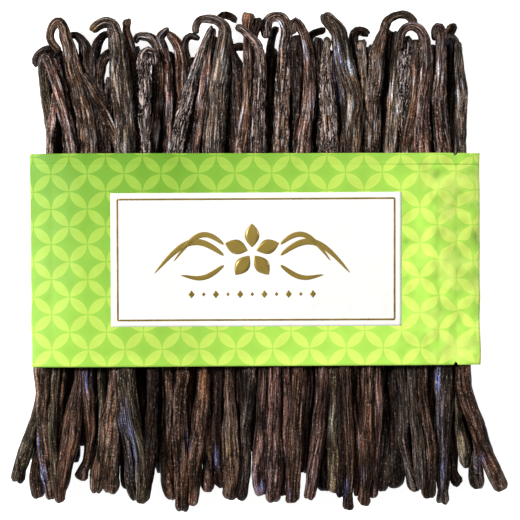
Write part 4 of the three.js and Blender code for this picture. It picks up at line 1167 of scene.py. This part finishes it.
# the printed film: a place is in a petal where the middles of both nearest circles, one of
# each lay, are less than about half a cell away. Ground and petals grow lighter by
# downward + rightward, each ramped, up to 1: painted light, brighter towards the lower right
def makeFilmMaterial(spec, look):
    t = Tree("sachetFilm")
    place, acrossFilm, upFilm = t.place()
    crumpled = t.ramp(acrossFilm, *look["crumpled"])
    # the crumples bend the pattern
    wobble = t.noise(place, 170.0, 1)[0], "Color"
    wobble = t.vector("SUBTRACT", wobble, (0.5, 0.5, 0.5))
    wobble = t.vector("SCALE", wobble, t.math("MULTIPLY", crumpled, look["bending"] * mm))
    bent = t.vector("ADD", place, wobble)
    turned = t.node("ShaderNodeMapping", {0: bent, 2: (0, 0, spec["patternTurn"])}), 0
    # how far each place is from the middle of the nearest circle, in two crossed lays
    cellX, cellY = (c * mm for c in spec["patternCell"])
    originX, originY = (c * mm for c in spec["patternOrigin"])
    distances = []
    for shift in (0.5, 0.0):
        corner = shift - originX / cellX, shift - originY / cellY, 0
        cell = t.node("ShaderNodeMapping", {0: turned, 1: corner, 3: (1 / cellX, 1 / cellY, 0)}), 0
        centred = t.vector("SUBTRACT", t.vector("FRACTION", cell), (0.5, 0.5, 0))
        distances.append(t.vector("LENGTH", centred))
    furthest = t.math("MAXIMUM", *distances)
    nearest = t.math("MINIMUM", *distances)
    petal, inside = (t.ramp(furthest, *look[edge]) for edge in ("petalEdge", "rimEdge"))
    downward = t.ramp(upFilm, *look["downward"])
    rightward = t.ramp(acrossFilm, *look["rightward"])
    paintedLight = t.math("MINIMUM", t.math("ADD", downward, rightward), 1.0)
    ground = t.mix(paintedLight, *look["ground"])
    leaf = t.mix(paintedLight, *look["petal"])
    leaf = t.times(leaf, t.mix(inside, (look["rimLight"],) * 3, (1, 1, 1)))
    # the ground is deeper in the middle of each star
    star = t.ramp(nearest, *look["starEdge"], 0, look["starDepth"])
    ground = t.mix(star, ground, t.times(ground, look["starTint"]))
    shade = t.node("ShaderNodeAttribute", attribute_name="filmShade"), "Color"
    base = t.times(t.mix(petal, ground, leaf), shade)
    # painted highlights: pale patches where the crumples catch the light
    crumpleHighlightShare = t.ramp(t.noise(place, 130.0, 2), 0.5, 0.63, 0, look["patches"])
    base = t.mix(t.math("MULTIPLY", crumpleHighlightShare, crumpled), base, look["crumpleHighlight"])
    # the heat seal's fine dark line, the seal itself with painted shade of its groove, strongest
    # near the notches
    offLine = t.math("ABSOLUTE", t.math("SUBTRACT", upFilm, spec["sealLineY"] * mm))
    line = t.ramp(offLine, 0.0003, 0.0001)
    reach = t.ramp(acrossFilm, 0.03, 0.058), t.ramp(acrossFilm, 0.077, 0.068, 0.4, 1)
    reach = t.math("MULTIPLY", t.math("MULTIPLY", *reach), 0.5)
    base = t.mix(t.math("MULTIPLY", line, reach), base, look["sealLine"])
    rough = t.ramp(t.noise(place, 60.0, 3), 0.3, 0.7, *look["roughness"])
    return t.finish({"Base Color": base, "Roughness": rough,
                     "Specular IOR Level": look["specular"]})


sheet = heapEnvelope(sachet["restingEase"])
sachetPiece = makeSachet(sachet, makeFilmMaterial(sachet, filmPrint))
print("sachet:", len(sachetPiece.data.polygons), "faces")


label = {
    "upperLeft": (-51.6, 23.0),
    "upperRight": (48.8, 23.6),
    "lowerRight": (48.9, -22.7),
    "lowerLeft": (-51.4, -23.1),
    "size": (100.4, 46.2),
    "thickness": 0.05,
    "border": (2.35, 2.2),  # from the label's edge to the gold frame, along x and y
    "frameWidth": 0.62,
    "foilThickness": 0.04,
    "sunk": 0.02,  # how deep label and foil sit in what is under them
    "ornamentCentre": (-1.4, 2.6),
    "stock": ((0.95, 0.95, 0.945), (0.985, 0.985, 0.98)),
    "stockRoughness": (0.42, 0.55),
}


# a place on the label: millimetres right and up of its centre, turned with the label
def onLabel(spec, right, up):
    a, b, c, d = (np.array(spec[key])
                  for key in ("lowerLeft", "lowerRight", "upperRight", "upperLeft"))
    u, v = ((at / size + 0.5)[..., None] for at, size in zip((right, up), spec["size"]))
    return a * (1 - u) * (1 - v) + b * u * (1 - v) + c * u * v + d * (1 - u) * v


# a sheet following the film from one height above it to another
def overFilm(flat, low, high):
    _, top = filmHeights(sachet, flat[..., 0], flat[..., 1])
    return [np.concatenate([flat, (top + h)[..., None]], -1) for h in (high, low)]


# the label as a grid over its size, each point placed by onLabel and laid on the film
def makeLabel(spec, material):
    right, up = (np.linspace(-size / 2, size / 2, count)
                 for size, count in zip(spec["size"], (121, 57)))
    flat = onLabel(spec, *np.meshgrid(right, up, indexing="ij"))
    pair = overFilm(flat, spec["sunk"], spec["thickness"])
    piece = makeSlabs("labelPanel", [pair], material)
    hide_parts("label")
    return piece


# a strip of foil along a path, as wide at each share t of the path as width(t)
def foilStrip(spec, path, width, count=40):
    t = np.linspace(0, 1, count)
    x, y = path(t)
    dx, dy = np.gradient(x), np.gradient(y)
    norm = np.hypot(dx, dy) + 1e-9
    side = np.linspace(-0.5, 0.5, 5)[None, :] * width(t)[:, None]
    flat = onLabel(spec, x[:, None] + side * (dy / norm)[:, None],
                   y[:, None] - side * (dx / norm)[:, None])
    start = spec["thickness"]
    return overFilm(flat, start - spec["sunk"], start + spec["foilThickness"])


# strips of foil as one piece on the label
def makeFoil(name, strips, material):
    piece = makeSlabs(name, strips, material)
    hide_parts("label")
    return piece


# the frame: four strips that meet at the corners
def frameStrips(spec):
    x, y = (size / 2 - border for size, border in zip(spec["size"], spec["border"]))
    corners = (-x, -y), (x, -y), (x, y), (-x, y), (-x, -y)
    return [foilStrip(spec, lambda t: (ax + (bx - ax) * t, ay + (by - ay) * t),
                      lambda t: spec["frameWidth"] + 0 * t, 120)
            for (ax, ay), (bx, by) in zip(corners[:-1], corners[1:])]


# the ornament: a five-petalled blossom between three pairs of slender pods and leaves, with
# a row of small lozenges under it. Each shape is a strip as wide as a sine or a tapered
# stroke along a straight or bent path
ornament = {
    "petals": 5,
    "petalStart": 1.6,  # from the blossom's middle
    "petalLength": 8.2,
    "petalWidth": 5,
    "podStart": 9.8,
    "podReach": 24,
    "podWidth": 2.1,
    # height, bend, share of the reach, share of the width; each bends up or down
    "pods": ((-1.2, 5.5, 1.0, 1.0), (2.6, 4.2, 0.72, 0.85), (-4.6, -3.22, 0.62, 0.8)),
    "podDroop": 4.4,
    "lozenges": 11,
    "lozengeStep": 4.2,
    "lozengeSizes": (2.7, 1.5),
    "lozengeRow": -12.0,
}


def ornamentStrips(spec, shape):
    cx, cy = spec["ornamentCentre"]
    strips = []
    petal = lambda t: 0.06 + shape["petalWidth"] * np.sin(np.pi * np.clip(t, 0, 1)) ** 0.9
    for k in range(shape["petals"]):
        angle = math.pi / 2 + 2 * math.pi * k / shape["petals"]
        c, s = math.cos(angle), math.sin(angle)
        out = lambda t: shape["petalStart"] + shape["petalLength"] * t
        strips.append(foilStrip(spec, lambda t: (cx + c * out(t), cy + s * out(t)), petal))
    for side in (-1, 1):
        for lift, bend, reach, wide in shape["pods"]:
            strips.append(foilStrip(
                spec,
                lambda t: (cx + side * (shape["podStart"] + shape["podReach"] * reach * t),
                           cy + lift + bend * np.sin(np.pi * t * 1.1) - shape["podDroop"] * t * t),
                lambda t: 0.1 + shape["podWidth"] * wide * np.sin(np.pi * t ** 0.7) ** 0.6, 60))
    half = (shape["lozenges"] - 1) / 2
    for k in range(shape["lozenges"]):
        x, size = cx + (k - half) * shape["lozengeStep"], shape["lozengeSizes"][k % 2]
        strips.append(foilStrip(spec, lambda t: (x + 0 * t, shape["lozengeRow"] + size * (t - 0.5)),
                                lambda t: 0.04 + size * 0.8 * (1 - np.abs(2 * t - 1)), 11))
    return strips


# two whites mixed by a fine noise, which also sets the roughness
def makeLabelMaterial(spec):
    t = Tree("labelStock")
    fibre = t.noise(t.place()[0], 900.0, 3)
    return t.finish({"Base Color": t.mix(t.ramp(fibre, 0.3, 0.7), *spec["stock"]),
                     "Roughness": t.ramp(fibre, 0.3, 0.7, *spec["stockRoughness"])})


gold = {
    "deep": (0.235, 0.155, 0.018),
    "pale": (0.47, 0.35, 0.09),
    "middle": (0.35, 0.255, 0.05),
    "metallic": 0.35,
    "roughness": (0.3, 0.42),
    "ornamentHalf": 0.014,  # half its height, in metres
    # where the frame begins, up and across
    "frameEdges": ((0.016, 0.018), (0.043, 0.045)),
    "frameShare": 0.15,
}


# deeper at the foot of the ornament and on the frame, paler at the ornament's head: the
# share of pale gold is the height ramped from 0 to 1, less of it out on the frame
def makeGoldMaterial(spec):
    t = Tree("goldFoil")
    place, acrossLabel, upLabel = t.place()
    rise = t.ramp(upLabel, -spec["ornamentHalf"], spec["ornamentHalf"])
    for way, edge in zip((upLabel, acrossLabel), spec["frameEdges"]):
        onFrame = t.ramp(t.math("ABSOLUTE", way), *edge, 1, spec["frameShare"])
        rise = t.math("MULTIPLY", rise, onFrame)
    glints = t.noise(place, 220.0, 3)
    base = t.mix(rise, spec["deep"], spec["pale"])
    base = t.mix(t.ramp(glints, 0.35, 0.65), base, spec["middle"])
    return t.finish({"Base Color": base, "Roughness": t.ramp(glints, 0.3, 0.7, *spec["roughness"]),
                     "Metallic": spec["metallic"]})


makeLabel(label, makeLabelMaterial(label))
goldMaterial = makeGoldMaterial(gold)
makeFoil("goldFrame", frameStrips(label), goldMaterial)
makeFoil("goldOrnament", ornamentStrips(label, ornament), goldMaterial)
print("label, frame and ornament laid on the film")


studio = {
    "floorSize": 3.0,
    "floorColour": (0.6, 0.6, 0.6, 1),
    "floorGlow": 0.9,
    # place, size, power and colour
    "lights": {
        "key": ((-1.2, 0.45, 1.15), 0.26, 38, (1, 0.97, 0.95)),
        "fill": ((1.4, 0.5, 0.7), 0.5, 6, (1, 0.97, 0.95)),
        "coolLow": ((-0.4, -1.5, 0.7), 0.4, 4, (0.7, 0.84, 1)),
    },
    "world": ((1, 0.86, 0.74, 1), 0.16),
    "frameWidth": 180.4,  # millimetres across the picture at the pods' height
    "aimHeight": 12,
    "lens": 135,
    "sensor": 36,
}


# a plain square under the bundle that glows a little, so that it stays white
def makeFloor(spec):
    t = Tree("paper")
    paper = t.finish({"Base Color": spec["floorColour"], "Roughness": 0.9,
                      "Emission Color": (1, 1, 1, 1), "Emission Strength": spec["floorGlow"]})
    bpy.ops.mesh.primitive_plane_add(size=spec["floorSize"])
    floor = bpy.context.object
    floor.name = "floor"
    floor.data.materials.append(paper)


# a round lamp that faces the bundle
def areaLight(name, place, size, power, colour):
    data = bpy.data.lights.new(name, "AREA")
    data.shape = "DISK"
    data.size = size
    data.energy = power
    data.color = colour
    lamp = bpy.data.objects.new(name, data)
    lamp.location = place
    lamp.rotation_euler = (-Vector(place)).to_track_quat("-Z", "Y").to_euler()
    bpy.context.scene.collection.objects.link(lamp)


# one colour from all sides
def makeWorld(colour, strength):
    world = bpy.data.worlds.new("world")
    world.use_nodes = True
    background = world.node_tree.nodes["Background"]
    background.inputs[0].default_value = colour
    background.inputs[1].default_value = strength
    bpy.context.scene.world = world


# straight above the middle, at picture width x lens / sensor above the pods' height
def makeCamera(spec):
    data = bpy.data.cameras.new("camera")
    data.lens = spec["lens"]
    data.sensor_width = spec["sensor"]
    camera = bpy.data.objects.new("camera", data)
    distance = spec["frameWidth"] * spec["lens"] / spec["sensor"] + spec["aimHeight"]
    camera.location = (0, 0, distance * mm)
    bpy.context.scene.collection.objects.link(camera)
    bpy.context.scene.camera = camera


makeFloor(studio)
for lightName, settings in studio["lights"].items():
    areaLight(lightName, *settings)
makeWorld(*studio["world"])
makeCamera(studio)
bpy.context.scene.view_settings.view_transform = "Standard"
print("floor, lights and camera set")
